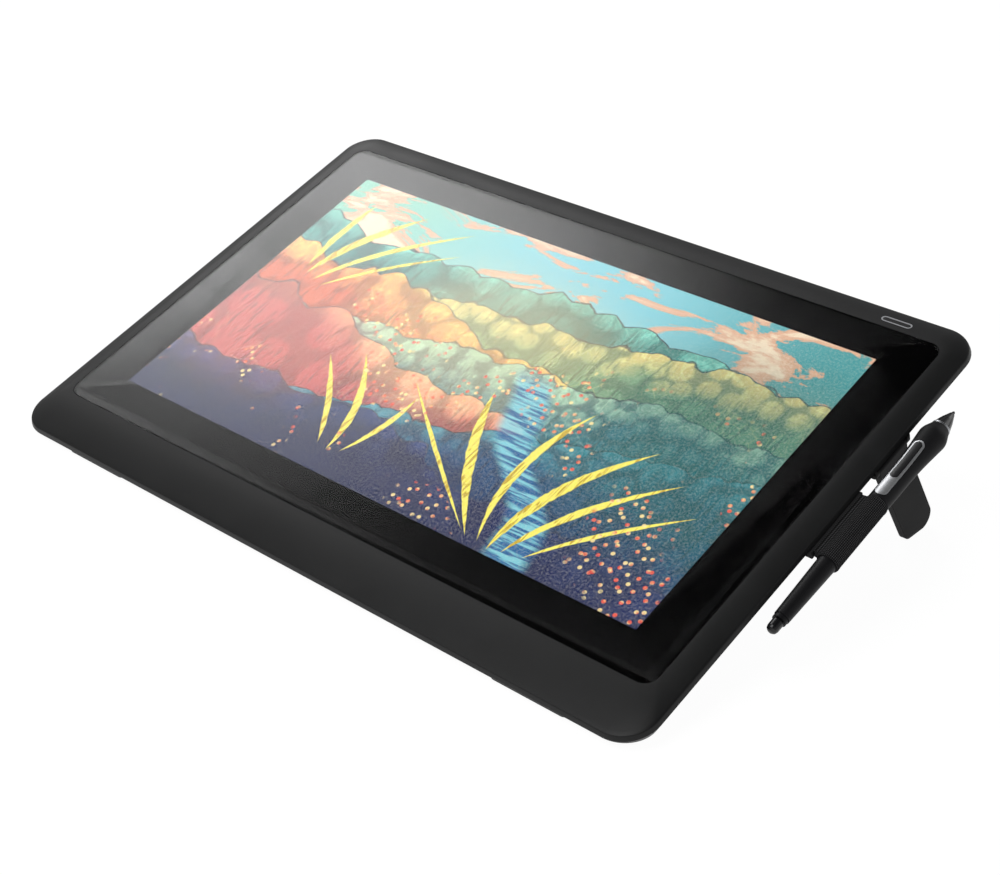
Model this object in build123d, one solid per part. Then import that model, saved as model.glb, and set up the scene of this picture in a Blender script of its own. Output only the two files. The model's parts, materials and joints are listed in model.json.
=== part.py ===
from build123d import *
import os
from math import cos, pi, radians, sin, tan

# A pen display: a slab with a glass front on two fold-out legs, and its pen in a knitted loop.
# Every piece is made on the tablet's own axes, in millimetres: X right, Y up the screen, Z out of
# it, with zero at the middle of the picture. At the end all are tilted back and set on the ground.

# Stance
tilt = 19
cut_over = 2

# Screen
picture_width = 344.2
picture_height = 193.6
border_side = 24.4
border_front = 22.6
border_rear = 20.8
glass_radius = 7
glass_thickness = 1.1
print_thickness = 0.15
print_gap = 0.05
glass_gap = 0.35

# Body
bezel_side = 12.9
bezel_front = 28.2
bezel_rear = 15.9
body_radius = 18
body_thickness = 24.5
pad_height = 1
wall = 2.2
parting_depth = 3.9
rim_drop = 2.5
rim_inset = 0.9
rim_fillet = 0.5
crown_shares = (1, 0.5, 0)
bezel_plate = 3
ledge_width = 6

# Rear cover
back_inset = 10.6
back_front_inset = 5
back_radius = 14
back_fillet = 3
slope_front_depth = 4.7
slope_run = 47.6

# Layers behind the picture, from the front
panel_side = 7.9
panel_front = 9.2
panel_rear = 7.2
panel_thickness = 1.6
panel_gap = 0.2
backlight_thickness = 2.8
backlight_rim = 1
digitizer_thickness = 1
digitizer_inset = 4
shield_thickness = 0.5
chassis_thickness = 1.2
chassis_side_gap = 0.3
panel_frame_rim = 1.5
chassis_side_inset = 1.5
chassis_end_inset = 3.4
chassis_radius = 5
rib_width = 6
rib_depth = 1.4
rib_count = 5
rib_length_share = 0.72

# Main board
board_width = 150
board_depth = 78
board_rear_margin = 14.2
board_thickness = 1.6
standoff_height = 3
standoff_radius = 3
standoff_inset = 5
cable_thickness = 0.3
cable_slot_ahead = 10
cable_slot_gap = 1
panel_cable_x = -35
panel_cable_width = 30
digitizer_cable_x = 35
digitizer_cable_width = 22
button_cable_width = 6
socket_height = 1.4
socket_depth = 6
socket_inset = 4
chip_height = 1.1
chip_sizes = ((16, 16), (12, 10), (9, 14), (8, 8), (6, 9))
chip_x_shares = (-0.34, -0.12, -0.25, -0.06, -0.38)
chip_y_shares = (0.55, 0.3, 0.22, 0.72, 0.8)
shield_can_width = 42
shield_can_depth = 30
shield_can_height = 2.4
shield_can_wall = 0.4
shield_can_corner = 2
shield_can_x_share = 0.24
shield_can_y_share = 0.36

# Port in its bay
port_width = 17
port_height = 6.4
port_depth = 12
port_wall = 0.6
port_corner_share = 0.22
port_tongue_width = 12
port_tongue_thickness = 1.6
port_tongue_reach = 7
bay_width = 40
bay_depth = 29.5
bay_ceiling_depth = 11.2

# Power button
button_from_corner = 29.6
button_from_glass = 6.2
button_ring_length = 16.8
button_ring_height = 4.1
button_ring_wall = 0.65
button_ring_flange = 0.9
button_gap = 0.15
button_travel = 0.6
button_sink = 0.1
button_flange = 0.8
button_foot = 1.2
button_board_width = 26
button_board_depth = 8
button_board_thickness = 1
button_post_radius = 1.3
push_switch_size = 4.5
push_switch_height = 1.6
push_switch_plunger_radius = 0.9

# Posts under the chassis and the stand's threaded inserts
post_radius = 3.9
insert_pitch = 75
insert_radius = 3
insert_bore_radius = 1.65
insert_length = 6
insert_wall = 1.6

# Feet and pads
foot_length = 44
foot_from_side = 61.4
foot_from_front = 1.6
foot_depth_y = 9
foot_low_depth = 8.6
foot_ramp = 3
pad_length = 34
pad_width = 9
pad_from_side = 51.4
pad_from_rear = 26.5
pad_from_front = 57.6

# Legs, folded out
leg_from_side = 6.4
leg_thickness = 3.6
leg_from_rear = 85.5
leg_width = 23.5
leg_lean = 15.7
leg_root = 4
leg_corner = 6.5
leg_rib_depth = 1
leg_rib_inset = 4
leg_axis_depth = 18.8
leg_sole = 1.8
leg_knuckle_gap = 0.3
leg_recess_gap = 0.9
leg_recess_head = 0.8
barrel_radius = 2.6
leg_pin_radius = 1.5
leg_pin_clearance = 0.05
leg_pin_head = 0.7
bracket_ear = 2.4
bracket_plate = 1.2
bracket_barrel_gap = 0.6
bracket_reach = 9
recess_wall = 1.6
scoop_radius = 9
scoop_depth = 3.5

# Spare nibs under the left leg
nib_radius = 0.8
nib_tip_radius = 0.45
spare_nib_length = 9
spare_nib_count = 3
spare_nib_pitch = 4
spare_nib_from_leg = 43
spare_nib_along_leg = 14
spare_nib_clearance = 0.05
spare_nib_proud = 0.5

# Slots for the pen loop, one each side
slot_length = 41
slot_height = 2.8
slot_top_depth = 4.9
slot_reach = 9
slot_wall = 1.4
slot_y = 1.5
plug_clearance = 0.15
plug_flange_length = 42
plug_flange_height = 4.4
plug_flange_thickness = 1.2

# Pen, its axis beside the right edge and its tip to the rear
pen_beside = 8.4
pen_depth = 8
nib_tip_y = 89.6
nose_tip_y = 87.8
nose_tip_radius = 1.25
nose_rear_y = 77.6
nose_rear_radius = 4.65
nose_bulge = 0.25
nose_ring_width = 1
grip_front_radius = 4.8
grip_wide_y = 70.6
grip_wide_radius = 7.05
grip_shoulder_chamfer = 1.2
grip_waist_y = 50
grip_waist_radius = 5.35
grip_rear_y = 22.6
grip_bore_radius = 3.6
barrel_front_radius = 4.7
barrel_rear_y = -54.4
barrel_rear_radius = 3.8
barrel_wall = 1.1
tail_ring_rear_y = -56.6
tail_ring_radius = 3.45
eraser_radius = 2.8
eraser_dome = 2.3
eraser_dome_turns = (0, 35, 65, 90)
eraser_end_y = -63.4
eraser_stem_radius = 1.9
eraser_stem_length = 9
eraser_head_radius = 2.4
eraser_travel = 0.7
nib_travel = 0.5
end_gap = 0.1
nib_clearance = 0.08
nib_tail_y = 66
core_radius = 2.6
core_front_y = 75
core_rear_y = 52
pen_board_width = 5
pen_board_thickness = 0.8
pen_board_front_y = 52
pen_board_rear_y = 4

# Side switch and its metal frame
switch_frame_front_y = 60.9
switch_frame_length = 37
switch_frame_width = 6
switch_frame_wall = 0.9
switch_frame_proud = 0.25
switch_frame_depth = 1.3
switch_length = 24
switch_gap = 0.2
switch_proud = 0.35
switch_thickness = 1
switch_pin_radius = 0.5
switch_pin_clearance = 0.08

# Knitted loop round the barrel
loop_front_y = 22.3
loop_rear_y = -18.6
loop_bore_radius = 4.95
loop_wall = 0.65
loop_rib_count = 40
loop_rib_depth = 0.25
loop_web_height = 4.2

# Derived outlines: each layer stands out from the picture or in from the glass
glass_width = picture_width + 2 * border_side
glass_front_y = -picture_height / 2 - border_front
glass_rear_y = picture_height / 2 + border_rear
body_width = glass_width + 2 * bezel_side
body_front_y = glass_front_y - bezel_front
body_rear_y = glass_rear_y + bezel_rear
slope_rear_y = body_front_y + slope_run
panel_width = picture_width + 2 * panel_side
panel_front_y = -picture_height / 2 - panel_front
panel_rear_y = picture_height / 2 + panel_rear
chassis_width = glass_width - 2 * chassis_side_inset
chassis_front_y = glass_front_y + chassis_end_inset
chassis_rear_y = glass_rear_y - chassis_end_inset
board_front_y = chassis_rear_y - board_rear_margin - board_depth
cable_slot_y = board_front_y - cable_slot_ahead
bay_front_y = body_rear_y - bay_depth
button_x = glass_width / 2 - button_from_corner
button_y = glass_rear_y + button_from_glass
foot_x = body_width / 2 - foot_from_side
foot_front_y = body_front_y + foot_from_front
pad_x = body_width / 2 - pad_from_side
pad_rear_y = body_rear_y - pad_from_rear
pad_front_y = body_front_y + pad_from_front
leg_outer_x = body_width / 2 - leg_from_side
leg_front_y = body_rear_y - leg_from_rear
spare_nib_x = spare_nib_from_leg - leg_outer_x
spare_nib_y = leg_front_y + spare_nib_along_leg
pen_x = body_width / 2 + pen_beside

# Derived levels, counted from the picture plane
print_top_z = print_gap + print_thickness
glass_top_z = print_top_z + glass_thickness
back_z = glass_top_z + pad_height - body_thickness
pad_z = back_z - pad_height
parting_z = -parting_depth
rim_z = glass_top_z - rim_drop
bezel_under_z = glass_top_z - bezel_plate
backlight_z = -panel_thickness
digitizer_z = backlight_z - backlight_thickness
shield_z = digitizer_z - digitizer_thickness
chassis_z = shield_z - shield_thickness
chassis_under_z = chassis_z - chassis_thickness
board_z = chassis_under_z - standoff_height
board_under_z = board_z - board_thickness
floor_z = back_z + wall
bay_ceiling_z = -bay_ceiling_depth
leg_axis_z = -leg_axis_depth
foot_low_z = -foot_low_depth
pen_z = -pen_depth

# Derived leg and hinge sizes
leg_axis_x = leg_outer_x - barrel_radius
leg_rear_y = leg_front_y + leg_width
bracket_z = leg_axis_z + barrel_radius + bracket_barrel_gap


def ground_z(y):
    """Where the ground lies under a place on the tablet, seen on its tilted axes."""
    return foot_low_z - tan(radians(tilt)) * (y - foot_front_y)


def plan(width, front_y, rear_y, radius, z):
    """A rounded rectangle, flat at one level."""
    centre_y = (front_y + rear_y) / 2
    return Pos(0, centre_y, z) * RectangleRounded(width, rear_y - front_y, radius)


def body_plan(inset, z):
    return plan(body_width - 2 * inset, body_front_y + inset, body_rear_y - inset, body_radius - inset, z)


def slab(width, front_y, rear_y, radius, low_z, high_z):
    """A flat piece with rounded corners."""
    return extrude(plan(width, front_y, rear_y, radius, low_z), high_z - low_z)


def block(width, front_y, rear_y, low_z, high_z):
    """The same with sharp corners, for what lies inside."""
    outline = Pos(0, (front_y + rear_y) / 2, low_z) * Rectangle(width, rear_y - front_y)
    return extrude(outline, high_z - low_z)


def rod(radius, x, y, low_z, high_z):
    return extrude(Pos(x, y, low_z) * Circle(radius), high_z - low_z)


def hexagon(radius, x, y, low_z, high_z):
    """An upright hexagonal prism. The radius is the way from its middle to its flats."""
    return extrude(Pos(x, y, low_z) * RegularPolygon(radius, 6, major_radius=False), high_z - low_z)


def pill(length, height, x, y, low_z, high_z):
    return extrude(Pos(x, y, low_z) * SlotOverall(length, height), high_z - low_z)


def group(solids):
    return Compound(children=[s for part in solids for s in part.solids()])


def between(start, end, share):
    return start + (end - start) * share


def crown_plan(share):
    """One outline of the bezel's crown: share 0 is the glass's edge and 1 the rim."""
    width = between(glass_width + 2 * glass_gap, body_width - 2 * rim_inset, share)
    front_y = between(glass_front_y - glass_gap, body_front_y + rim_inset, share)
    rear_y = between(glass_rear_y + glass_gap, body_rear_y - rim_inset, share)
    radius = between(glass_radius + glass_gap, body_radius - rim_inset, share)
    return plan(width, front_y, rear_y, radius, glass_top_z - rim_drop * share**2)


def bezel_form():
    """The outside of the front bezel: a short skirt and a crown that falls from the glass to the rim."""
    skirt = loft([body_plan(0, parting_z), body_plan(rim_inset, rim_z)])
    crown = loft([crown_plan(share) for share in crown_shares])
    form = skirt + crown
    rim = [edge for edge in form.edges() if abs(edge.center().Z - rim_z) < rim_fillet / 2]
    return fillet(rim, rim_fillet)


def front_bezel():
    hollow = extrude(body_plan(rim_inset + wall, parting_z), bezel_under_z - parting_z)
    pocket = slab(glass_width + 2 * glass_gap, glass_front_y - glass_gap, glass_rear_y + glass_gap,
                  glass_radius + glass_gap, print_gap, glass_top_z + cut_over)
    window = slab(glass_width - 2 * ledge_width, glass_front_y + ledge_width, glass_rear_y - ledge_width,
                  glass_radius / 2, bezel_under_z - cut_over, glass_top_z)
    button_hole = pill(button_ring_length, button_ring_height, button_x, button_y,
                       bezel_under_z - cut_over, glass_top_z + cut_over)
    return bezel_form() - hollow - pocket - window - button_hole


def front_slope(gap):
    """The wedge of space under the slab's front, raised by a gap."""
    run = slope_rear_y - body_front_y
    rise = back_z + slope_front_depth
    front_z = -slope_front_depth + gap
    past_y = body_front_y - run
    outline = Polyline((past_y, front_z - rise), (slope_rear_y, back_z + gap),
                       (slope_rear_y, back_z - run), (past_y, back_z - run), close=True)
    return extrude(Plane.YZ * make_face(outline), body_width, both=True)


def back_plan(inset, z):
    """The outline at the slab's back, drawn in from the parting line."""
    width = body_width - 2 * back_inset - 2 * inset
    front_y = body_front_y + back_front_inset + inset
    rear_y = body_rear_y - back_inset - inset
    return plan(width, front_y, rear_y, back_radius - inset, z)


def leg_plan():
    """The folded leg's outline from below: X is the way from the hinge's axis, Y is the tablet's."""
    lean = tan(radians(leg_lean))
    fall = tan(radians(tilt))

    def reach(y):
        return (leg_axis_z - foot_low_z + fall * (y - lean * leg_root - foot_front_y)) / (1 - fall * lean)

    front = reach(leg_front_y)
    rear = reach(leg_rear_y)
    corners = ((0, leg_front_y), (leg_root, leg_front_y), (front, leg_front_y + (front - leg_root) * lean),
               (rear, leg_rear_y + (rear - leg_root) * lean), (leg_root, leg_rear_y), (0, leg_rear_y))
    sketch = make_face(Polyline(*corners, close=True))
    return fillet(sketch.vertices().sort_by(Axis.X)[-2:], leg_corner)


def scoop_plan():
    """The hollow for a finger, beside the folded leg's end."""
    end = leg_plan().bounding_box().max
    return Pos(end.X - scoop_radius, leg_front_y + end.X * tan(radians(leg_lean))) * Circle(scoop_radius)


def turned_in(sketch, z):
    """A plan counted from the right hinge's axis, laid in the tablet at one level."""
    return Pos(leg_axis_x, 0, z) * mirror(sketch, about=Plane.YZ)


def hinge_pocket(margin):
    """The notch in the cover's side that the right hinge turns in."""
    low_y = leg_front_y - bracket_ear - leg_pin_head - 2 * leg_knuckle_gap - margin
    high_y = leg_rear_y + bracket_ear + leg_pin_head + 2 * leg_knuckle_gap + margin
    low_x = leg_axis_x - bracket_reach - margin
    high_z = bracket_z + bracket_plate + margin
    notch = Rectangle(body_width / 2 - low_x, high_y - low_y, align=(Align.MIN, Align.MIN))
    return extrude(Pos(low_x, low_y, back_z - cut_over) * notch, high_z - back_z + cut_over)


def leg_housing(outer):
    """Walls and roofs over the right leg's recess and hinge, inside the cover."""
    around = offset(leg_plan(), leg_recess_gap + recess_wall, kind=Kind.INTERSECTION)
    roof_z = recess_ceiling_z() + recess_wall
    room = extrude(turned_in(around, back_z), roof_z - back_z)
    return (room + hinge_pocket(recess_wall)) & outer


def leg_recess():
    low_z = back_z - cut_over
    outline = offset(leg_plan(), leg_recess_gap, kind=Kind.INTERSECTION)
    room = extrude(turned_in(outline, low_z), recess_ceiling_z() - low_z)
    grip = extrude(turned_in(scoop_plan(), low_z), back_z + scoop_depth - low_z)
    return room + grip + hinge_pocket(0)


def side_slot(margin):
    """The right side's slot for the pen loop's plug."""
    x = body_width / 2 - slot_reach - margin
    room = Rectangle(slot_reach + cut_over + margin, slot_length + 2 * margin,
                     align=(Align.MIN, Align.CENTER))
    low_z = -slot_top_depth - slot_height - margin
    return extrude(Pos(x, slot_y, low_z) * room, slot_height + 2 * margin)


def port_bay(margin):
    room = Rectangle(bay_width + 2 * margin, body_rear_y - bay_front_y + margin + cut_over,
                     align=(Align.CENTER, Align.MIN))
    low_z = back_z - cut_over
    return extrude(Pos(0, bay_front_y - margin, low_z) * room, bay_ceiling_z + margin - low_z)


def port_box(margin):
    """The port's body, its mouth in the bay's front wall."""
    shape = RectangleRounded(port_width + 2 * margin, port_height + 2 * margin,
                             port_height * port_corner_share)
    centre_z = board_under_z - port_height / 2
    mouth = Plane(origin=(0, bay_front_y, centre_z), x_dir=(-1, 0, 0), z_dir=(0, 1, 0))
    return extrude(mouth * shape, -port_depth)


def both_sides(part):
    return part + mirror(part, about=Plane.YZ)


def pad_places():
    return [(x, y) for x in (-pad_x, pad_x) for y in (pad_rear_y, pad_front_y)]


def insert_places():
    half = insert_pitch / 2
    return [(x, y) for x in (-half, half) for y in (-half, half)]


def spare_nib_places():
    middle = (spare_nib_count - 1) / 2
    return [(spare_nib_x + (i - middle) * spare_nib_pitch, spare_nib_y) for i in range(spare_nib_count)]


def nib_holder():
    """The block over the left leg's recess that the spare nibs are pushed into."""
    width = (spare_nib_count - 1) * spare_nib_pitch + 2 * (nib_radius + recess_wall)
    depth = nib_radius + recess_wall
    high_z = recess_ceiling_z() + spare_nib_length
    return Pos(spare_nib_x, 0, 0) * block(width, spare_nib_y - depth, spare_nib_y + depth,
                                          recess_ceiling_z(), high_z)


def recess_ceiling_z():
    """The recess's ceiling, a little above the folded leg's inner face."""
    return leg_axis_z + leg_axis_x - (leg_outer_x - leg_thickness) + leg_recess_head


def cover_form():
    """The outside of the rear cover, without its cut-outs."""
    form = loft([body_plan(0, parting_z), back_plan(0, back_z)]) - front_slope(0)
    return fillet(form.edges().filter_by(Plane.XY).group_by(Axis.Z)[0], back_fillet)


def rear_cover():
    outer = cover_form()
    cavity = loft([body_plan(wall, parting_z), back_plan(wall, floor_z)]) - front_slope(wall)
    cover = outer - cavity
    cover += both_sides(leg_housing(outer)) + (port_bay(recess_wall) & outer)
    cover += both_sides(side_slot(slot_wall) & outer)
    for x, y in pad_places():
        cover += hexagon(post_radius, x, y, floor_z, chassis_under_z)
    for x, y in insert_places():
        cover += hexagon(insert_radius + insert_wall, x, y, floor_z, back_z + insert_length)
    cover += nib_holder()
    cover -= both_sides(leg_recess()) + port_bay(0) + port_box(0) + both_sides(side_slot(0))
    for x, y in insert_places():
        cover -= hexagon(insert_radius, x, y, back_z - cut_over, back_z + insert_length)
    for x, y in spare_nib_places():
        top_z = recess_ceiling_z() + spare_nib_length - spare_nib_proud
        cover -= hexagon(nib_radius + spare_nib_clearance, x, y, back_z, top_z)
    return cover


def cover_glass():
    return slab(glass_width, glass_front_y, glass_rear_y, glass_radius, print_top_z, glass_top_z)


def glass_border():
    border = slab(glass_width, glass_front_y, glass_rear_y, glass_radius, print_gap, print_top_z)
    window = extrude(Rectangle(picture_width, picture_height), glass_top_z)
    return border - window


def screen_panel():
    return panel_slab(0, backlight_z, 0)


def panel_slab(margin, low_z, high_z):
    return block(panel_width + 2 * margin, panel_front_y - margin, panel_rear_y + margin, low_z, high_z)


def backlight_unit():
    """The light guide's tray, its thin rim round the screen panel."""
    tray = panel_slab(panel_gap + backlight_rim, digitizer_z, -panel_gap)
    return tray - panel_slab(panel_gap, backlight_z, glass_top_z)


def digitizer_board():
    return panel_slab(-digitizer_inset, shield_z, digitizer_z)


def shield_plate():
    return panel_slab(0, chassis_z, shield_z)


def panel_frame():
    """The plastic frame that centres the panel stack and bears on the bezel's ledge."""
    inner = chassis_width - 2 * (chassis_thickness + chassis_side_gap)
    front_y = chassis_front_y + chassis_thickness + chassis_side_gap
    rear_y = chassis_rear_y - chassis_thickness - chassis_side_gap
    ring = slab(inner, front_y, rear_y, chassis_radius - chassis_thickness, chassis_z, bezel_under_z)
    margin = 2 * panel_gap + backlight_rim
    stack = panel_slab(margin, chassis_z - cut_over, glass_top_z)
    groove = block(inner - 2 * panel_frame_rim, front_y + panel_frame_rim, rear_y - panel_frame_rim,
                   chassis_z - cut_over, chassis_z + panel_frame_rim)
    core = panel_slab(margin + panel_frame_rim, chassis_z - cut_over, glass_top_z)
    return ring - stack - (groove - core)


def rib_places():
    step = chassis_width * rib_length_share / (rib_count - 1)
    return [-chassis_width * rib_length_share / 2 + i * step for i in range(rib_count)]


def chassis():
    """A pressed tray: a flat plate, an upstanding rim and ribs pressed downwards beside the board."""
    tray = slab(chassis_width, chassis_front_y, chassis_rear_y, chassis_radius,
                chassis_under_z, bezel_under_z)
    room = slab(chassis_width - 2 * chassis_thickness, chassis_front_y + chassis_thickness,
                chassis_rear_y - chassis_thickness, chassis_radius - chassis_thickness,
                chassis_z, glass_top_z)
    tray -= room
    rib_front_y = chassis_front_y + chassis_radius + rib_width
    rib_rear_y = board_front_y - rib_width
    for x in rib_places():
        low_z = chassis_under_z - rib_depth
        rib = block(rib_width, rib_front_y, rib_rear_y, low_z, chassis_under_z)
        groove = block(rib_width - 2 * chassis_thickness, rib_front_y + chassis_thickness,
                       rib_rear_y - chassis_thickness, chassis_under_z, chassis_z)
        tray += Pos(x, 0, 0) * rib
        tray -= Pos(x, 0, 0) * groove
    for x, width in ((panel_cable_x, panel_cable_width), (digitizer_cable_x, digitizer_cable_width)):
        slot = Rectangle(width + 2 * cable_slot_gap, cable_thickness + 2 * cable_slot_gap)
        tray -= extrude(Pos(x, cable_slot_y, chassis_under_z) * slot, chassis_thickness)
    return tray


def board_places():
    half = board_width / 2 - standoff_inset
    return [(x, y) for x in (-half, half)
            for y in (board_front_y + standoff_inset, board_front_y + board_depth - standoff_inset)]


def main_board():
    return block(board_width, board_front_y, board_front_y + board_depth, board_under_z, board_z)


def board_chips():
    chips = []
    for (width, depth), share_x, share_y in zip(chip_sizes, chip_x_shares, chip_y_shares):
        x = share_x * board_width
        y = board_front_y + share_y * board_depth
        low_z = board_under_z - chip_height
        chips.append(extrude(Pos(x, y, low_z) * Rectangle(width, depth), chip_height))
    return group(chips)


def shield_can():
    x = shield_can_x_share * board_width
    y = board_front_y + shield_can_y_share * board_depth
    low_z = board_under_z - shield_can_height
    lid = RectangleRounded(shield_can_width, shield_can_depth, shield_can_corner)
    hollow = RectangleRounded(shield_can_width - 2 * shield_can_wall, shield_can_depth - 2 * shield_can_wall,
                              shield_can_corner - shield_can_wall)
    can = extrude(Pos(x, y, low_z) * lid, shield_can_height)
    return can - extrude(Pos(x, y, low_z + shield_can_wall) * hollow, shield_can_height)


def standoffs():
    """Hexagonal posts between the chassis and the main board."""
    return group(hexagon(standoff_radius, x, y, board_z, chassis_under_z) for x, y in board_places())


def port_connector():
    """A socket shell with a contact tongue, open towards the bay."""
    shape = RectangleRounded(port_width - 2 * port_wall, port_height - 2 * port_wall,
                             port_height * port_corner_share - port_wall)
    centre_z = board_under_z - port_height / 2
    mouth = Plane(origin=(0, bay_front_y, centre_z), x_dir=(-1, 0, 0), z_dir=(0, 1, 0))
    shell = port_box(0) - extrude(mouth * shape, -(port_tongue_reach + port_wall))
    tongue = extrude(mouth * Rectangle(port_tongue_width, port_tongue_thickness), -port_depth)
    lead_in = mouth.offset(-port_wall) * Rectangle(port_width, port_height)
    return shell + (tongue - extrude(lead_in, port_wall))


def light_ring():
    """The light guide round the power button, flanged under the bezel."""
    length, height = button_ring_length, button_ring_height
    ring = pill(length, height, button_x, button_y, bezel_under_z, glass_top_z) & bezel_form()
    flange = pill(length + 2 * button_ring_flange, height + 2 * button_ring_flange, button_x, button_y,
                  bezel_under_z - button_ring_flange, bezel_under_z)
    bore = pill(length - 2 * button_ring_wall, height - 2 * button_ring_wall, button_x, button_y,
                bezel_under_z - cut_over, glass_top_z + cut_over)
    return ring + flange - bore


def power_button():
    inset = 2 * (button_ring_wall + button_gap)
    length, height = button_ring_length - inset, button_ring_height - inset
    top = pill(length, height, button_x, button_y, bezel_under_z, glass_top_z)
    top &= Pos(0, 0, -button_sink) * bezel_form()
    cap = top + pill(length, height, button_x, button_y, button_foot_z(), bezel_under_z)
    flange_top = bezel_under_z - button_ring_flange - button_gap
    flange = pill(button_ring_length, button_ring_height, button_x, button_y, flange_top - button_flange,
                  flange_top)
    return cap + flange


def button_foot_z():
    return bezel_under_z - button_ring_flange - button_gap - button_flange - button_foot


def button_board_z():
    return button_foot_z() - button_travel - button_gap - push_switch_height


def push_switch():
    """The push switch under the button, its plunger a short way below the button's foot."""
    base_high = push_switch_height / 2
    base_z = button_board_z()
    base = extrude(Pos(button_x, button_y, base_z) * Rectangle(push_switch_size, push_switch_size), base_high)
    return base + rod(push_switch_plunger_radius, button_x, button_y, base_z + base_high,
                      base_z + push_switch_height)


def button_board():
    """The small board under the button, with two posts up to the bezel and a cable socket below."""
    high_z = button_board_z()
    board = Pos(button_x, button_y, high_z - button_board_thickness) * Rectangle(button_board_width,
                                                                               button_board_depth)
    board = extrude(board, button_board_thickness)
    socket_z = cable_level() + cable_thickness
    socket = Pos(button_x, button_y, socket_z) * Rectangle(socket_depth, button_cable_width)
    board += extrude(socket, high_z - button_board_thickness - socket_z)
    for side in (-1, 1):
        x = button_x + side * (button_board_width / 2 - button_post_radius - button_gap)
        board += rod(button_post_radius, x, button_y, high_z, bezel_under_z)
    return board


def cable_level():
    return board_z + socket_height


def stack_cable(x, width):
    """A flat cable from the panel stack, down through the chassis and onto its socket."""
    level = cable_level() + cable_thickness / 2
    route = Polyline((cable_slot_y, chassis_z), (cable_slot_y, level),
                     (board_front_y + socket_inset + socket_depth, level))
    return extrude(Plane.YZ.offset(x - width / 2) * trace(route, cable_thickness), width)


def button_cable():
    """The button board's flat cable, round the chassis' edge to its socket."""
    x, y = button_socket_place()
    board_x = button_x - button_board_width / 2 - button_cable_width
    route = Polyline((button_x, button_y), (board_x, button_y), (board_x, y), (x - socket_depth / 2, y))
    return extrude(Pos(0, 0, cable_level()) * trace(route, button_cable_width), cable_thickness)


def button_socket_place():
    return board_width / 2 - socket_depth, board_front_y + board_depth / 2


def cable_sockets():
    """The sockets on the main board that the three flat cables end on."""
    y = board_front_y + socket_inset + socket_depth / 2
    places = ((panel_cable_x, y, panel_cable_width, socket_depth),
              (digitizer_cable_x, y, digitizer_cable_width, socket_depth),
              (*button_socket_place(), socket_depth, button_cable_width))
    return group(extrude(Pos(x, y, board_z) * Rectangle(width, depth), socket_height)
                 for x, y, width, depth in places)


def stand_inserts():
    rings = []
    for x, y in insert_places():
        ring = hexagon(insert_radius, x, y, back_z, back_z + insert_length)
        rings.append(ring - rod(insert_bore_radius, x, y, back_z, back_z + insert_length))
    return group(rings)


def front_feet():
    """Two rubber strips on the sloped underside, cut flat where they stand."""
    feet = []
    for side in (-1, 1):
        low_z = ground_z(foot_front_y + foot_depth_y) - cut_over
        block = Pos(side * foot_x, foot_front_y + foot_depth_y / 2, low_z) * RectangleRounded(
            foot_length, foot_depth_y, foot_ramp)
        block = extrude(block, -low_z)
        block &= front_slope(0)
        ground = Plane(origin=(0, foot_front_y, foot_low_z), x_dir=(1, 0, 0),
                       z_dir=(0, sin(radians(tilt)), cos(radians(tilt))))
        block = split(block, bisect_by=ground, keep=Keep.TOP)
        feet.append(block)
    return group(feet)


def rear_pads():
    return group(pill(pad_length, pad_width, x, y, pad_z, back_z) for x, y in pad_places())


def leg_and_sole():
    """The right leg, folded out: a plate with a hollowed inner face, on a hinge barrel."""
    outline = leg_plan()
    upright = Plane(origin=(leg_outer_x, 0, leg_axis_z), x_dir=(0, 0, -1), z_dir=(1, 0, 0))
    inner_face = upright.offset(-leg_thickness)
    plate = extrude(inner_face * outline, leg_thickness)
    hollow = offset(outline, -leg_rib_inset, kind=Kind.INTERSECTION)
    plate -= extrude(inner_face * hollow, leg_rib_depth)
    barrel_plane = Plane(origin=(leg_axis_x, leg_front_y, leg_axis_z), z_dir=(0, 1, 0))
    barrel = extrude(barrel_plane * Circle(barrel_radius), leg_width)
    leg = plate + barrel
    bore_plane = Plane(origin=(leg_axis_x, leg_front_y - cut_over, leg_axis_z), z_dir=(0, 1, 0))
    leg -= extrude(bore_plane * Circle(leg_pin_radius + leg_pin_clearance), leg_width + 2 * cut_over)
    sole_plane = Plane(origin=(0, foot_front_y, foot_low_z), x_dir=(1, 0, 0),
                       z_dir=(0, sin(radians(tilt)), cos(radians(tilt)))).offset(leg_sole)
    sole = split(leg, bisect_by=sole_plane, keep=Keep.BOTTOM)
    leg = split(leg, bisect_by=sole_plane, keep=Keep.TOP)
    return leg, sole


def hinge_bracket():
    """A plate on the pocket's roof with two knuckles that hold the pin."""
    low_y = leg_front_y - leg_knuckle_gap - bracket_ear
    high_y = leg_rear_y + leg_knuckle_gap + bracket_ear
    low_x = leg_axis_x - bracket_reach + leg_knuckle_gap
    plate_width = leg_axis_x + barrel_radius / 2 - low_x
    plate = Rectangle(plate_width, high_y - low_y, align=(Align.MIN, Align.MIN))
    bracket = extrude(Pos(low_x, low_y, bracket_z) * plate, bracket_plate)
    for y in (low_y, leg_rear_y + leg_knuckle_gap):
        side = Plane(origin=(leg_axis_x, y, leg_axis_z), x_dir=(-1, 0, 0), z_dir=(0, 1, 0))
        web = Rectangle(2 * barrel_radius, bracket_z - leg_axis_z, align=(Align.CENTER, Align.MIN))
        ear = Circle(barrel_radius) + web
        bracket += extrude(side * ear, bracket_ear)
        bracket -= extrude(side * Circle(leg_pin_radius), bracket_ear)
    return bracket


def hinge_pin():
    low_y = leg_front_y - leg_knuckle_gap - bracket_ear - leg_pin_head
    high_y = leg_rear_y + leg_knuckle_gap + bracket_ear + leg_pin_head
    start = Plane(origin=(leg_axis_x, low_y, leg_axis_z), z_dir=(0, 1, 0))
    return extrude(start * Circle(leg_pin_radius), high_y - low_y)


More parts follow.
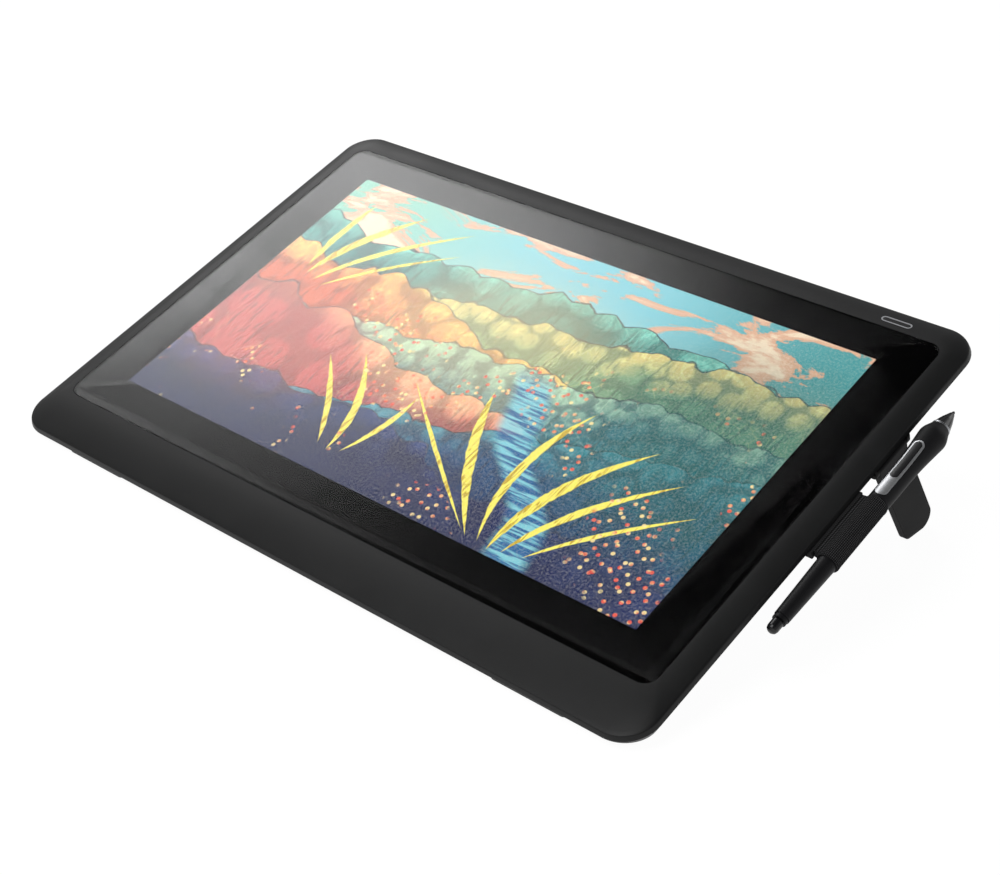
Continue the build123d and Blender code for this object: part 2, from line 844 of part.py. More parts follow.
def spare_nibs():
    low_z = recess_ceiling_z() - spare_nib_proud
    return group(rod(nib_radius, x, y, low_z, low_z + spare_nib_length) for x, y in spare_nib_places())


def turned(profile):
    """Turns an outline of radius against length about the pen's axis and lays it beside the slab."""
    return Pos(pen_x, 0, pen_z) * revolve(Plane.XY * profile, Axis.Y)


def pen_nose():
    """A slender cone round the nib, its sides a little full."""
    middle = between(nose_tip_radius, nose_rear_radius, 0.5) + nose_bulge
    bore = nib_radius + nib_clearance
    return turned(make_face(Polyline(
        (nose_tip_radius, nose_tip_y), (middle, between(nose_tip_y, nose_rear_y, 0.5)),
        (nose_rear_radius, nose_rear_y), (bore, nose_rear_y), (bore, nose_tip_y), close=True)))


def pen_nose_ring():
    rear_y = nose_rear_y - nose_ring_width
    return turned(make_face(Polyline((grip_bore_radius, rear_y), (grip_front_radius, rear_y),
                                     (nose_rear_radius + nose_bulge / 2, nose_rear_y),
                                     (grip_bore_radius, nose_rear_y), close=True)))


def grip_radius(y):
    """The grip's outer radius behind its widest place: it narrows to the waist and stays so."""
    share = max(0, y - grip_waist_y) / (grip_wide_y - grip_waist_y)
    return between(grip_waist_radius, grip_wide_radius, share)


def grip_layer(proud, bore):
    """The grip's form of revolution, grown by a little and with a bore."""
    front_y = nose_rear_y - nose_ring_width
    outline = make_face(Polyline(
        (bore, front_y), (grip_front_radius + proud, front_y), (grip_wide_radius + proud, grip_wide_y),
        (grip_waist_radius + proud, grip_waist_y), (grip_waist_radius + proud, grip_rear_y),
        (bore, grip_rear_y), close=True))
    shoulder = [vertex for vertex in outline.vertices() if abs(vertex.Y - grip_wide_y) < end_gap]
    return turned(chamfer(shoulder, grip_shoulder_chamfer))


def switch_stadium(length, width, rear_y, low_z):
    """An upright pill over the pen's axis, from a level upwards."""
    y = rear_y + length / 2
    return extrude(Pos(pen_x, y, low_z) * Rot(0, 0, 90) * SlotOverall(length, width), 2 * grip_wide_radius)


def switch_rear_y():
    """Where the rocker's window ends, behind its narrow front rim."""
    return switch_frame_front_y - switch_frame_wall - switch_length - 2 * switch_gap


def switch_middle_y():
    return switch_rear_y() + switch_gap + switch_length / 2


def switch_pin_z():
    """The level of the rocker's pivot, a line across the pen under the middle of the cap."""
    return pen_z + grip_radius(switch_middle_y()) - switch_thickness + switch_pin_radius


def switch_pins(clearance):
    start = Plane(origin=(pen_x - switch_frame_width / 2 + switch_gap, switch_middle_y(), switch_pin_z()),
                  x_dir=(0, 1, 0), z_dir=(1, 0, 0))
    return extrude(start * Circle(switch_pin_radius + clearance), switch_frame_width - 2 * switch_gap)


def in_grip(stadium, proud, depth):
    """What of an upright pill lies between two depths of the grip's surface, on the pen's upper side."""
    layer = grip_layer(proud, 0) - grip_layer(-depth, 0)
    return (stadium & layer).solids().sort_by(SortBy.VOLUME)[-1]


def switch_frame():
    """The metal frame: a window for the rocker, and a plain plate behind it."""
    rear_y = switch_frame_front_y - switch_frame_length
    blank = switch_stadium(switch_frame_length, switch_frame_width, rear_y, pen_z)
    window = switch_stadium(switch_length + 2 * switch_gap, switch_frame_width - 2 * switch_frame_wall,
                            switch_rear_y(), pen_z)
    return in_grip(blank, switch_frame_proud, switch_frame_depth) - window - switch_pins(switch_pin_clearance)


def side_switch():
    """The rocker, on pins that turn in the frame's long sides."""
    width = switch_frame_width - 2 * switch_frame_wall - 2 * switch_gap
    cap = switch_stadium(switch_length, width, switch_rear_y() + switch_gap, pen_z)
    return in_grip(cap, switch_proud, switch_thickness) + switch_pins(0)


def pen_grip():
    rear_y = switch_frame_front_y - switch_frame_length
    window = switch_stadium(switch_frame_length, switch_frame_width, rear_y, pen_z)
    return grip_layer(0, grip_bore_radius) - window


def pen_barrel():
    """The hollow rear barrel, which thins towards the eraser, with the tube that the grip sits on."""
    inner = barrel_rear_radius - barrel_wall
    return turned(make_face(Polyline(
        (barrel_front_radius, grip_rear_y), (barrel_front_radius, loop_rear_y),
        (barrel_rear_radius, barrel_rear_y), (inner, barrel_rear_y), (inner, core_rear_y),
        (grip_bore_radius, core_rear_y), (grip_bore_radius, grip_rear_y), close=True)))


def pen_tail_ring():
    bore = eraser_stem_radius + nib_clearance
    profile = Polyline((bore, tail_ring_rear_y), (tail_ring_radius, tail_ring_rear_y),
                       (tail_ring_radius, barrel_rear_y), (bore, barrel_rear_y), close=True)
    return turned(make_face(profile))


def pen_eraser():
    """A domed nub on a stem that slides in the tail ring, kept there by the stem's head."""
    front_y = tail_ring_rear_y - eraser_travel - end_gap
    head_y = barrel_rear_y + end_gap
    stem_y = tail_ring_rear_y + eraser_stem_length
    dome = [(eraser_radius - eraser_dome * (1 - cos(radians(turn))),
             eraser_end_y + eraser_dome * (1 - sin(radians(turn)))) for turn in eraser_dome_turns]
    return turned(make_face(Polyline(
        (0, stem_y), (eraser_head_radius, stem_y), (eraser_head_radius, head_y), (eraser_stem_radius, head_y),
        (eraser_stem_radius, front_y), (eraser_radius, front_y), *dome, (0, eraser_end_y), close=True)))


def pen_nib():
    tip = Polyline((0, nib_tail_y), (nib_radius, nib_tail_y), (nib_radius, nib_tip_y - nib_radius),
                   (nib_tip_radius, nib_tip_y), (0, nib_tip_y), close=True)
    return turned(make_face(tip))


def pen_core():
    """The coil and the pressure sensor round the nib's shaft."""
    bore = nib_radius + nib_clearance
    tail_y = nib_tail_y - nib_travel - end_gap
    profile = Polyline((0, core_rear_y), (grip_bore_radius, core_rear_y), (grip_bore_radius, nib_tail_y),
                       (core_radius, nib_tail_y), (core_radius, core_front_y), (bore, core_front_y),
                       (bore, tail_y), (0, tail_y), close=True)
    return turned(make_face(profile))


def pen_board():
    shape = Pos(0, (pen_board_front_y + pen_board_rear_y) / 2, 0) * Rectangle(
        pen_board_width, pen_board_front_y - pen_board_rear_y)
    return Pos(pen_x, 0, pen_z - pen_board_thickness / 2) * extrude(shape, pen_board_thickness)


def loop_profile(radius, depth):
    """The loop's outline with fine ribs: a ring of small scallops."""
    points = []
    for i in range(2 * loop_rib_count):
        angle = i * pi / loop_rib_count
        reach = radius - depth * (i % 2)
        points.append((reach * cos(angle), reach * sin(angle)))
    return make_face(Polyline(*points, close=True))


def pen_loop():
    """The knitted sleeve, ribbed lengthwise, with its web to the plug."""
    start = Plane(origin=(pen_x, loop_rear_y, pen_z), x_dir=(-1, 0, 0), z_dir=(0, 1, 0))
    length = loop_front_y - loop_rear_y
    outer_radius = loop_bore_radius + loop_wall
    web_reach = pen_x - body_width / 2 - plug_flange_thickness
    half = loop_web_height / 2
    web = make_face(Polyline((0, outer_radius - loop_rib_depth), (web_reach, web_top() + half),
                             (web_reach, web_top() - half), (0, loop_rib_depth - outer_radius), close=True))
    section = loop_profile(outer_radius, loop_rib_depth) + web - Circle(loop_bore_radius)
    return extrude(start * section, length)


def web_top():
    """The slot's middle level, counted from the pen's axis."""
    return -slot_top_depth - slot_height / 2 - pen_z


def loop_plug():
    """The plug of the loop: a tongue in the slot and a flange outside it."""
    tongue_width = slot_length - 2 * plug_clearance
    tongue_high = slot_height - 2 * plug_clearance
    low_z = -slot_top_depth - slot_height + plug_clearance
    x = body_width / 2 - slot_reach + plug_clearance
    tongue = Rectangle(slot_reach, tongue_width, align=(Align.MIN, Align.CENTER))
    tongue = extrude(Pos(x, slot_y, low_z) * tongue, tongue_high)
    centre_z = -slot_top_depth - slot_height / 2
    inner_x = body_width / 2 - slot_reach / 2
    flange = Rectangle(body_width / 2 + plug_flange_thickness - inner_x, plug_flange_length,
                       align=(Align.MIN, Align.CENTER))
    flange = extrude(Pos(inner_x, slot_y, centre_z - plug_flange_height / 2) * flange, plug_flange_height)
    return tongue + (flange - cover_form())


def all_parts():
    leg, sole = leg_and_sole()
    return {
        "front_bezel": front_bezel(),
        "rear_cover": rear_cover(),
        "cover_glass": cover_glass(),
        "glass_border": glass_border(),
        "screen_panel": screen_panel(),
        "backlight_unit": backlight_unit(),
        "digitizer_board": digitizer_board(),
        "shield_plate": shield_plate(),
        "panel_frame": panel_frame(),
        "chassis": chassis(),
        "main_board": main_board(),
        "board_chips": board_chips(),
        "shield_can": shield_can(),
        "standoffs": standoffs(),
        "port_connector": port_connector(),
        "cable_sockets": cable_sockets(),
        "panel_cable": stack_cable(panel_cable_x, panel_cable_width),
        "digitizer_cable": stack_cable(digitizer_cable_x, digitizer_cable_width),
        "button_cable": button_cable(),
        "light_ring": light_ring(),
        "power_button": power_button(),
        "push_switch": push_switch(),
        "button_board": button_board(),
        "stand_inserts": stand_inserts(),
        "front_feet": front_feet(),
        "rear_pads": rear_pads(),
        "right_leg": leg,
        "right_leg_sole": sole,
        "left_leg": mirror(leg, about=Plane.YZ),
        "left_leg_sole": mirror(sole, about=Plane.YZ),
        "right_hinge_bracket": hinge_bracket(),
        "left_hinge_bracket": mirror(hinge_bracket(), about=Plane.YZ),
        "right_hinge_pin": hinge_pin(),
        "left_hinge_pin": mirror(hinge_pin(), about=Plane.YZ),
        "spare_nibs": spare_nibs(),
        "pen_nose": pen_nose(),
        "pen_nose_ring": pen_nose_ring(),
        "pen_grip": pen_grip(),
        "pen_barrel": pen_barrel(),
        "pen_tail_ring": pen_tail_ring(),
        "pen_eraser": pen_eraser(),
        "pen_nib": pen_nib(),
        "pen_core": pen_core(),
        "pen_board": pen_board(),
        "switch_frame": switch_frame(),
        "side_switch": side_switch(),
        "pen_loop": pen_loop(),
        "loop_plug": loop_plug(),
    }


def placed(parts):
    """Tilts every piece back and sets the whole on the ground, centred over its foot print."""
    tilted = {name: Rot(tilt, 0, 0) * part for name, part in parts.items()}
    box = Compound(children=[s for part in tilted.values() for s in part.solids()]).bounding_box()
    to_origin = Pos(-(box.min.X + box.max.X) / 2, -(box.min.Y + box.max.Y) / 2, -box.min.Z)
    print("shift", to_origin.position, "size", box.size)
    return {name: to_origin * part for name, part in tilted.items()}


os.makedirs("parts", exist_ok=True)
for name, part in placed(all_parts()).items():
    export_step(part, f"parts/{name}.step")
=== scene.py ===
import json
from math import cos, pi, radians, sin, sqrt

import bmesh
import bpy
from mathutils import Euler, Matrix, Vector

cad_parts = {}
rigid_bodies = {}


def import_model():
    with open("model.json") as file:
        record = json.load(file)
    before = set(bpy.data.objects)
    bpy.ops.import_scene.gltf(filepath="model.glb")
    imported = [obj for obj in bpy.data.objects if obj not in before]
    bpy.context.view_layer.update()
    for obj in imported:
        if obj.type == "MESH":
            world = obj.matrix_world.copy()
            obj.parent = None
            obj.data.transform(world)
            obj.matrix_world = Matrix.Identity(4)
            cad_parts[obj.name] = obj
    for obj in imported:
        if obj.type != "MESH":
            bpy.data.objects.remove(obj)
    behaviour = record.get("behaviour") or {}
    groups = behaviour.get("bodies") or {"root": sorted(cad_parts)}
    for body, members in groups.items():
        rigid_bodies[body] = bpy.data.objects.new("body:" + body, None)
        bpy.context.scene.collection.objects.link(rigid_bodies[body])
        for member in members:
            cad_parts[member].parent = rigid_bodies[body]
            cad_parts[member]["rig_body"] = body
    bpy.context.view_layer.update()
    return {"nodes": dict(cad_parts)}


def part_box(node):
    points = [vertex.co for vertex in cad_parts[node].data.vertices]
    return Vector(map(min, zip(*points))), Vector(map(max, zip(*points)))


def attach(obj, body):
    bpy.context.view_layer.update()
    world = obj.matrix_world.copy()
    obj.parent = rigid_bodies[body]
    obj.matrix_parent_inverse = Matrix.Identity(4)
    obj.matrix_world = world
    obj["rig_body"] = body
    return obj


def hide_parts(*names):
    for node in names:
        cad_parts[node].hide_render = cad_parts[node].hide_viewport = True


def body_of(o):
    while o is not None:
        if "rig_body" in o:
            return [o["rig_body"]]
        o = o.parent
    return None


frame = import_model()

# Sizes, in metres, on the tablet's own axes: X right, Y up the screen, Z out of it, and zero at the
# middle of the picture. SLAB tilts them back and sets them on the ground.
MM = 0.001
WELD = 0.001 * MM
TILT = radians(19)
PANEL_FRONT = -106 * MM
PANEL_REAR = 104 * MM
PICTURE_WIDTH = 344.2 * MM
PICTURE_HEIGHT = 193.6 * MM

# The cover glass and the bezel's mouth round it
GLASS_WIDTH = 393 * MM
GLASS_FRONT = -119.4 * MM
GLASS_REAR = 117.6 * MM
GLASS_RADIUS = 7 * MM
GLASS_TOP = 1.3 * MM
GLASS_GAP = 0.35 * MM
GLASS_BEVEL = 0.05 * MM
MOUTH_SUNK = 0.2 * MM

# The body, and the bezel's crown and rim. RIM_ROUND gives how far the rim's round has dropped and
# come out, in millimetres.
BODY_WIDTH = 418.8 * MM
BODY_FRONT = -147.6 * MM
BODY_REAR = 133.5 * MM
BODY_RADIUS = 18 * MM
CORNER_STEPS = 12
CROWN_STEPS = 12
CROWN_END = 0.99
RIM_DROP = 2.5 * MM
RIM_INSET = 0.9 * MM
RIM_ROUND = ((0.06, 0.02), (0.16, 0.10), (0.32, 0.20), (0.55, 0.30))
PARTING = -3.9 * MM
PARTING_CHAMFER = 0.15 * MM
BEZEL_UNDER = -1.7 * MM
PRINT_GAP = 0.05 * MM
LEDGE = 6 * MM
WALL = 2.2 * MM

# The power button's ring, and the tools that cut pill-shaped windows
BUTTON = Vector((166.9, 123.8, 0)) * MM
BUTTON_CUT = 12 * MM
RING_LENGTH = 16.8 * MM
RING_HEIGHT = 4.1 * MM
CUTTER_HEIGHT = 12 * MM
PILL_STEPS = 48

# The pen's grip with its plate and rocker. GRIP_RUNS gives places along the pen and the radii
# there, and it and the three values after it are in millimetres.
PEN_X = 217.8 * MM
PEN_Z = -8 * MM
GRIP_RUNS = ((22.6, 5.35), (50, 5.35), (70.6, 7.05), (76.6, 4.8))
SHOULDER_START = 61
SHOULDER_ROUNDING = 1.8
WAIST_ROUNDING = 8
ROUNDING_STEPS = 6
GRIP_BORE = 3.6 * MM
GRIP_ROWS = 90
GRIP_STEPS = 96
PLATE_FRONT = 60.9 * MM
PLATE_LENGTH = 37 * MM
PLATE_WIDTH = 6 * MM
PLATE_PROUD = 0.25 * MM
PLATE_DEPTH = 1.3 * MM
PLATE_RIM = 0.9 * MM
ROCKER_LENGTH = 24 * MM
ROCKER_GAP = 0.2 * MM
ROCKER_PROUD = 0.35 * MM
ROCKER_DEPTH = 1 * MM

# The knitted loop: ribs along it, courses across it, a hem at each end, and the web to its plug
LOOP_FRONT = 22.3 * MM
LOOP_REAR = -18.6 * MM
LOOP_BORE = 4.95 * MM
LOOP_OUTER = 5.6 * MM
HEM_LENGTH = 2.2 * MM
HEM_PROUD = 0.12 * MM
END_LENGTH = 0.6 * MM
END_DROP = 0.25 * MM
RIBS = 40
RIB_DEPTH = 0.25 * MM
COURSE_PITCH = 1.1 * MM
COURSE_DEPTH = 0.08 * MM
STITCH_STEPS = 4
WEB_Z = 1.7 * MM
WEB_HALF = 2.1 * MM
WEB_TAPER = 0.75
WEB_CUTS = 7
PLUG_FLANGE = 1.2 * MM

# Hill rows of the picture from the far one to the near one: level, slope, swing, rate, seed, tree
# crowns over the width, and the colours in shade and in light
HILLS = (
    (0.83, -0.10, 0.09, 2.2, 1.7, 9.0, (0.03, 0.26, 0.24), (0.16, 0.52, 0.42)),
    (0.72, 0.16, 0.10, 3.1, 4.3, 15.0, (0.20, 0.40, 0.22), (0.86, 0.70, 0.24)),
    (0.62, -0.22, 0.13, 2.6, 7.9, 11.0, (0.70, 0.13, 0.04), (0.98, 0.56, 0.14)),
    (0.55, 0.24, 0.12, 3.7, 11.2, 19.0, (0.03, 0.20, 0.26), (0.40, 0.66, 0.46)),
    (0.42, -0.30, 0.13, 2.3, 15.6, 8.0, (0.60, 0.10, 0.10), (0.95, 0.40, 0.22)),
    (0.33, 0.34, 0.10, 3.3, 19.4, 16.0, (0.01, 0.08, 0.20), (0.05, 0.32, 0.40)),
    (0.20, -0.12, 0.10, 4.1, 23.8, 12.0, (0.004, 0.010, 0.06), (0.02, 0.05, 0.19)),
)
# Grass blades in three fans: the root's place across and up, lean, curve, height and width
BLADES = (
    (0.08, 0.58, 0.06, -0.60, 0.36, 0.010), (0.10, 0.56, 0.22, -0.70, 0.38, 0.008),
    (0.07, 0.60, -0.10, -0.30, 0.32, 0.007), (0.12, 0.55, 0.42, -0.60, 0.30, 0.006),
    (0.70, 0.02, -0.52, -0.40, 0.44, 0.010), (0.72, 0.02, -0.28, -0.55, 0.50, 0.008),
    (0.74, 0.01, -0.06, -0.60, 0.47, 0.010), (0.76, 0.02, 0.14, -0.60, 0.40, 0.008),
    (0.69, 0.03, -0.78, -0.10, 0.36, 0.006), (0.79, 0.03, 0.38, -0.50, 0.32, 0.006),
    (0.38, 0.08, -0.30, 0.50, 0.28, 0.007), (0.40, 0.07, 0.00, 0.80, 0.34, 0.008),
    (0.42, 0.08, 0.28, 0.60, 0.26, 0.006),
)
# Broad tints of the picture: the patch's place across and up, its reach both ways, its strength
# and its colour. Warm light in the middle, rose on the left and teal on the right
PATCHES = (
    (0.45, 0.60, 0.20, 0.26, 0.28, (0.98, 0.80, 0.36)),
    (0.14, 0.40, 0.17, 0.24, 0.25, (0.80, 0.24, 0.16)),
    (0.93, 0.50, 0.22, 0.34, 0.66, (0.010, 0.12, 0.11)),
)
PICTURE_LEVEL = 1.05

# The studio. Directions are an azimuth from +X towards +Y and an elevation, in degrees. The
# surround falls from its low level to its top one between two elevations.
FLOOR_HALF = 8.0
FLOOR_WHITE = 0.90
FLOOR_LEVEL = 1.07
SURROUND_SPAN = (28, 52)
SURROUND_LOW = 0.44
SURROUND_TOP = 0.01
GLOW_PLACE = (153, 37.5)
GLOW_REACH = 17.5
GLOW_CORE = 7
GLOW_LEVEL = 4.2
LAMP_DISTANCE = 3.0
LENS = 66.879
SENSOR = 36
FAR_CLIP = 30
CAMERA_PLACE = (0.55985, -0.45500, 0.61092)
CAMERA_TURN = (radians(46.4967), radians(11.6921), radians(40.0287))

panel_low, panel_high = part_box("screen_panel")
origin = Vector((
    (panel_low.x + panel_high.x) / 2,
    panel_low.y - PANEL_FRONT * cos(TILT),
    panel_high.z - PANEL_REAR * sin(TILT),
))
SLAB = Matrix.Translation(origin) @ Matrix.Rotation(TILT, 4, "X")


# Shader maths

class Value:
    """A socket of a node tree. Sums and products of values add Math nodes."""

    def __init__(self, nodes, socket):
        self.nodes = nodes
        self.socket = socket

    def maths(self, operation, *others):
        inputs = dict(enumerate((self, *others)))
        return self.nodes.add("Math", {"operation": operation}, inputs)["Value"]

    def __add__(self, other):
        return self.maths("ADD", other)

    __radd__ = __add__

    def __sub__(self, other):
        return self.maths("SUBTRACT", other)

    def __rsub__(self, other):
        return self.nodes.add("Math", {"operation": "SUBTRACT"}, {0: other, 1: self})["Value"]

    def __mul__(self, other):
        return self.maths("MULTIPLY", other)

    __rmul__ = __mul__

    def __truediv__(self, other):
        return self.maths("DIVIDE", other)

    def __abs__(self):
        return self.maths("ABSOLUTE")

    def step(self, low, high):
        """0 below low, 1 above high, and a smooth run between them."""
        inputs = {"Value": self, "From Min": low, "From Max": high}
        return self.nodes.add("MapRange", {"interpolation_type": "SMOOTHSTEP"}, inputs)["Result"]


class Nodes:
    """A node tree that is built up from empty. Its patterns are solid, or flat ones on X and Y."""

    def __init__(self, tree, dimensions="3D"):
        self.tree = tree
        self.dimensions = dimensions
        tree.nodes.clear()

    def add(self, kind, settings=None, inputs=None):
        """One node: its type, its settings, and the values or links of its sockets."""
        node = self.tree.nodes.new("ShaderNode" + kind)
        for name, value in (settings or {}).items():
            setattr(node, name, value)
        for key, value in (inputs or {}).items():
            if isinstance(value, Value):
                self.tree.links.new(value.socket, node.inputs[key])
            else:
                node.inputs[key].default_value = value
        return {socket.name: Value(self, socket) for socket in node.outputs if socket.enabled}

    def apart(self, vector):
        parts = self.add("SeparateXYZ", None, {"Vector": vector})
        return parts["X"], parts["Y"], parts["Z"]

    def together(self, x, y):
        return self.add("CombineXYZ", None, {"X": x, "Y": y, "Z": 0.0})["Vector"]

    def stretched(self, vector, across, along):
        inputs = {0: vector, 1: (across, along, 1.0)}
        return self.add("VectorMath", {"operation": "MULTIPLY"}, inputs)["Vector"]

    def shifted(self, vector, reach):
        inputs = {0: vector, 1: (reach, 0.4 * reach, 0.0)}
        return self.add("VectorMath", {"operation": "ADD"}, inputs)["Vector"]

    def noise(self, vector, scale, detail=2.0, roughness=0.5, distortion=0.0):
        inputs = {"Vector": vector, "Scale": scale, "Detail": detail, "Roughness": roughness,
                  "Distortion": distortion}
        return self.add("TexNoise", {"noise_dimensions": self.dimensions}, inputs)["Fac"]

    def cells(self, vector, scale, feature="F1", **more):
        """The distance in a pattern of cells, from their middles or from their edges."""
        settings = {"feature": feature, "voronoi_dimensions": self.dimensions}
        inputs = {"Vector": vector, "Scale": scale, **more}
        return self.add("TexVoronoi", settings, inputs)["Distance"]

    def mix(self, share, first, second):
        """A colour between two others."""
        inputs = {0: share}
        for key, colour in ((6, first), (7, second)):
            inputs[key] = colour if isinstance(colour, Value) else (*colour, 1)
        return self.add("Mix", {"data_type": "RGBA"}, inputs)["Result"]


class Finish(Nodes):
    """A material and the nodes of its surface."""

    def __init__(self, name, dimensions="3D"):
        self.material = bpy.data.materials.new(name)
        self.material.use_nodes = True
        super().__init__(self.material.node_tree, dimensions)

    def place(self, **mapping):
        """Object coordinates, in metres, centred and turned as the mapping says."""
        spot = self.add("TexCoord")["Object"]
        if not mapping:
            return spot
        inputs = {"Vector": spot, **mapping}
        return self.add("Mapping", {"vector_type": "TEXTURE"}, inputs)["Vector"]

    def slab_place(self):
        return self.place(Location=origin, Rotation=(TILT, 0, 0))

    def pen_place(self):
        return self.place(Location=SLAB @ Vector((PEN_X, 0, PEN_Z)), Rotation=(TILT, 0, 0))

    def bump(self, height, distance):
        return self.add("Bump", None, {"Height": height, "Distance": distance})["Normal"]

    def surface(self, **sockets):
        """The finish's Principled surface. An underscore in a name stands for a space."""
        inputs = {}
        for name, value in sockets.items():
            colour = isinstance(value, tuple)
            inputs[name.replace("_", " ")] = (*value, 1) if colour else value
        return self.close(self.add("BsdfPrincipled", None, inputs)["BSDF"])

    def close(self, shader):
        self.add("OutputMaterial", None, {"Surface": shader})
        return self.material


def times(colour, factor, crest_highlight=0.0):
    return tuple(factor * part + crest_highlight for part in colour)


# Finishes

def textured_plastic(name, colour, rough, specular, grain=0.35 * MM, depth=0.02 * MM):
    """Moulded plastic with a fine spark-eroded grain, faint smears and paler high spots."""
    finish = Finish(name)
    spot = finish.place()
    grains = finish.noise(spot, 1 / grain, 3, 0.6)
    smears = finish.noise(spot, 22, 3, 0.6, 0.4).step(0.35, 0.75)
    high_spots = grains.step(0.35, 0.75) * 0.5 + smears * 0.25
    return finish.surface(Base_Color=finish.mix(high_spots, colour, times(colour, 1.35)),
                          Roughness=rough - 0.03 + smears * 0.06 + grains * 0.05,
                          Specular_IOR_Level=specular, Normal=finish.bump(grains, depth))


def soft_rubber(name, colour, rough, specular=0.3):
    """Matt rubber with a fine grain and a little dust."""
    finish = Finish(name)
    spot = finish.place()
    grains = finish.noise(spot, 1 / (0.5 * MM), 2, 0.5)
    dust = finish.noise(spot, 60, 4, 0.65).step(0.5, 0.8)
    shade = finish.mix(dust * 0.35, colour, times(colour, 1.6, 0.004))
    return finish.surface(Base_Color=shade, Roughness=rough + dust * 0.08,
                          Specular_IOR_Level=specular, Normal=finish.bump(grains, 0.015 * MM))


def gloss_plastic(name, colour, rough, specular=0.4):
    """Smooth plastic with a slight waviness and fine scuffs."""
    finish = Finish(name)
    spot = finish.place()
    waves = finish.noise(spot, 140, 1, 0.4)
    scuffs = finish.noise(spot, 900, 4, 0.7).step(0.55, 0.75)
    return finish.surface(Base_Color=finish.mix(waves, colour, times(colour, 1.25)),
                          Roughness=rough + scuffs * 0.06, Specular_IOR_Level=specular,
                          Normal=finish.bump(waves, 0.02 * MM))


def brushed_metal(name, colour, rough, lines_along=(40, 2200, 2200)):
    """Bare metal with fine drawn lines, which run along the axis that has few of them."""
    finish = Finish(name)
    spot = finish.place(Location=origin, Rotation=(TILT, 0, 0),
                        Scale=tuple(1 / count for count in lines_along))
    lines = finish.noise(spot, 1.0, 3, 0.6)
    shade = finish.mix(lines.step(0.3, 0.7), times(colour, 0.82), colour)
    return finish.surface(Base_Color=shade, Metallic=1.0, Roughness=rough + lines * 0.12,
                          Normal=finish.bump(lines, 0.004 * MM))


def flat_print(name, colour, rough, specular=0.5):
    """A thin printed or moulded layer inside the tablet."""
    finish = Finish(name)
    mottle = finish.noise(finish.place(), 260, 3, 0.6)
    return finish.surface(Base_Color=finish.mix(mottle, colour, times(colour, 1.2)),
                          Roughness=rough + mottle * 0.1, Specular_IOR_Level=specular)


def circuit(name, mask_colour):
    """A circuit board: solder mask over copper tracks, with bare pads."""
    finish = Finish(name)
    spot = finish.slab_place()
    tracks = finish.add("TexBrick", {"offset": 0.5}, {
        "Vector": spot, "Scale": 160, "Color1": (0, 0, 0, 1), "Color2": (0, 0, 0, 1),
        "Mortar": (1, 1, 1, 1), "Mortar Size": 0.03})["Color"]
    pads = 1 - finish.cells(spot, 260).step(0.16, 0.2)
    shade = finish.mix(tracks, mask_colour, times(mask_colour, 1.5, 0.01))
    shade = finish.mix(pads, shade, (0.72, 0.55, 0.25))
    return finish.surface(Base_Color=shade, Roughness=0.42 - pads * 0.15, Metallic=pads * 0.8)


def etched_glass():
    """Cover glass with a fine anti-glare etch and faint wiping marks."""
    finish = Finish("etched_glass")
    marks = finish.noise(finish.slab_place(), 9, 2, 0.5)
    return finish.surface(Base_Color=(1, 1, 1), Roughness=0.105 + marks * 0.03, IOR=1.33,
                          Transmission_Weight=1.0)


def knit():
    """Elastic knit: ribs crossed by courses, with painted highlight on crests and painted shade in
    grooves.
    """
    finish = Finish("loop_knit")
    spot = finish.pen_place()
    x, y, z = finish.apart(spot)
    wales = (x.maths("ARCTAN2", z) * RIBS).maths("COSINE")
    courses = (y * (2 * pi / COURSE_PITCH)).maths("COSINE")
    threads = finish.noise(spot, 5200, 2, 0.6)
    fuzz = finish.noise(spot, 700, 4, 0.7)
    height = wales * 0.5 + courses * 0.35 + threads * 0.5
    # Painted highlight on the crests of ribs and courses, and painted shade in the grooves between
    # them
    crest_highlight = (wales * 0.5 + 0.5) * 0.6 + (courses * 0.5 + 0.5) * 0.4
    shade = finish.mix(crest_highlight.step(0.35, 0.95), (0.002, 0.002, 0.002), (0.056, 0.056, 0.059))
    shade = finish.mix(fuzz.step(0.5, 0.75) * 0.25, shade, (0.04, 0.04, 0.042))
    return finish.surface(Base_Color=shade, Roughness=0.78 + fuzz * 0.1, Specular_IOR_Level=0.10,
                          Sheen_Weight=0.08, Sheen_Roughness=0.5,
                          Normal=finish.bump(height, 0.05 * MM))


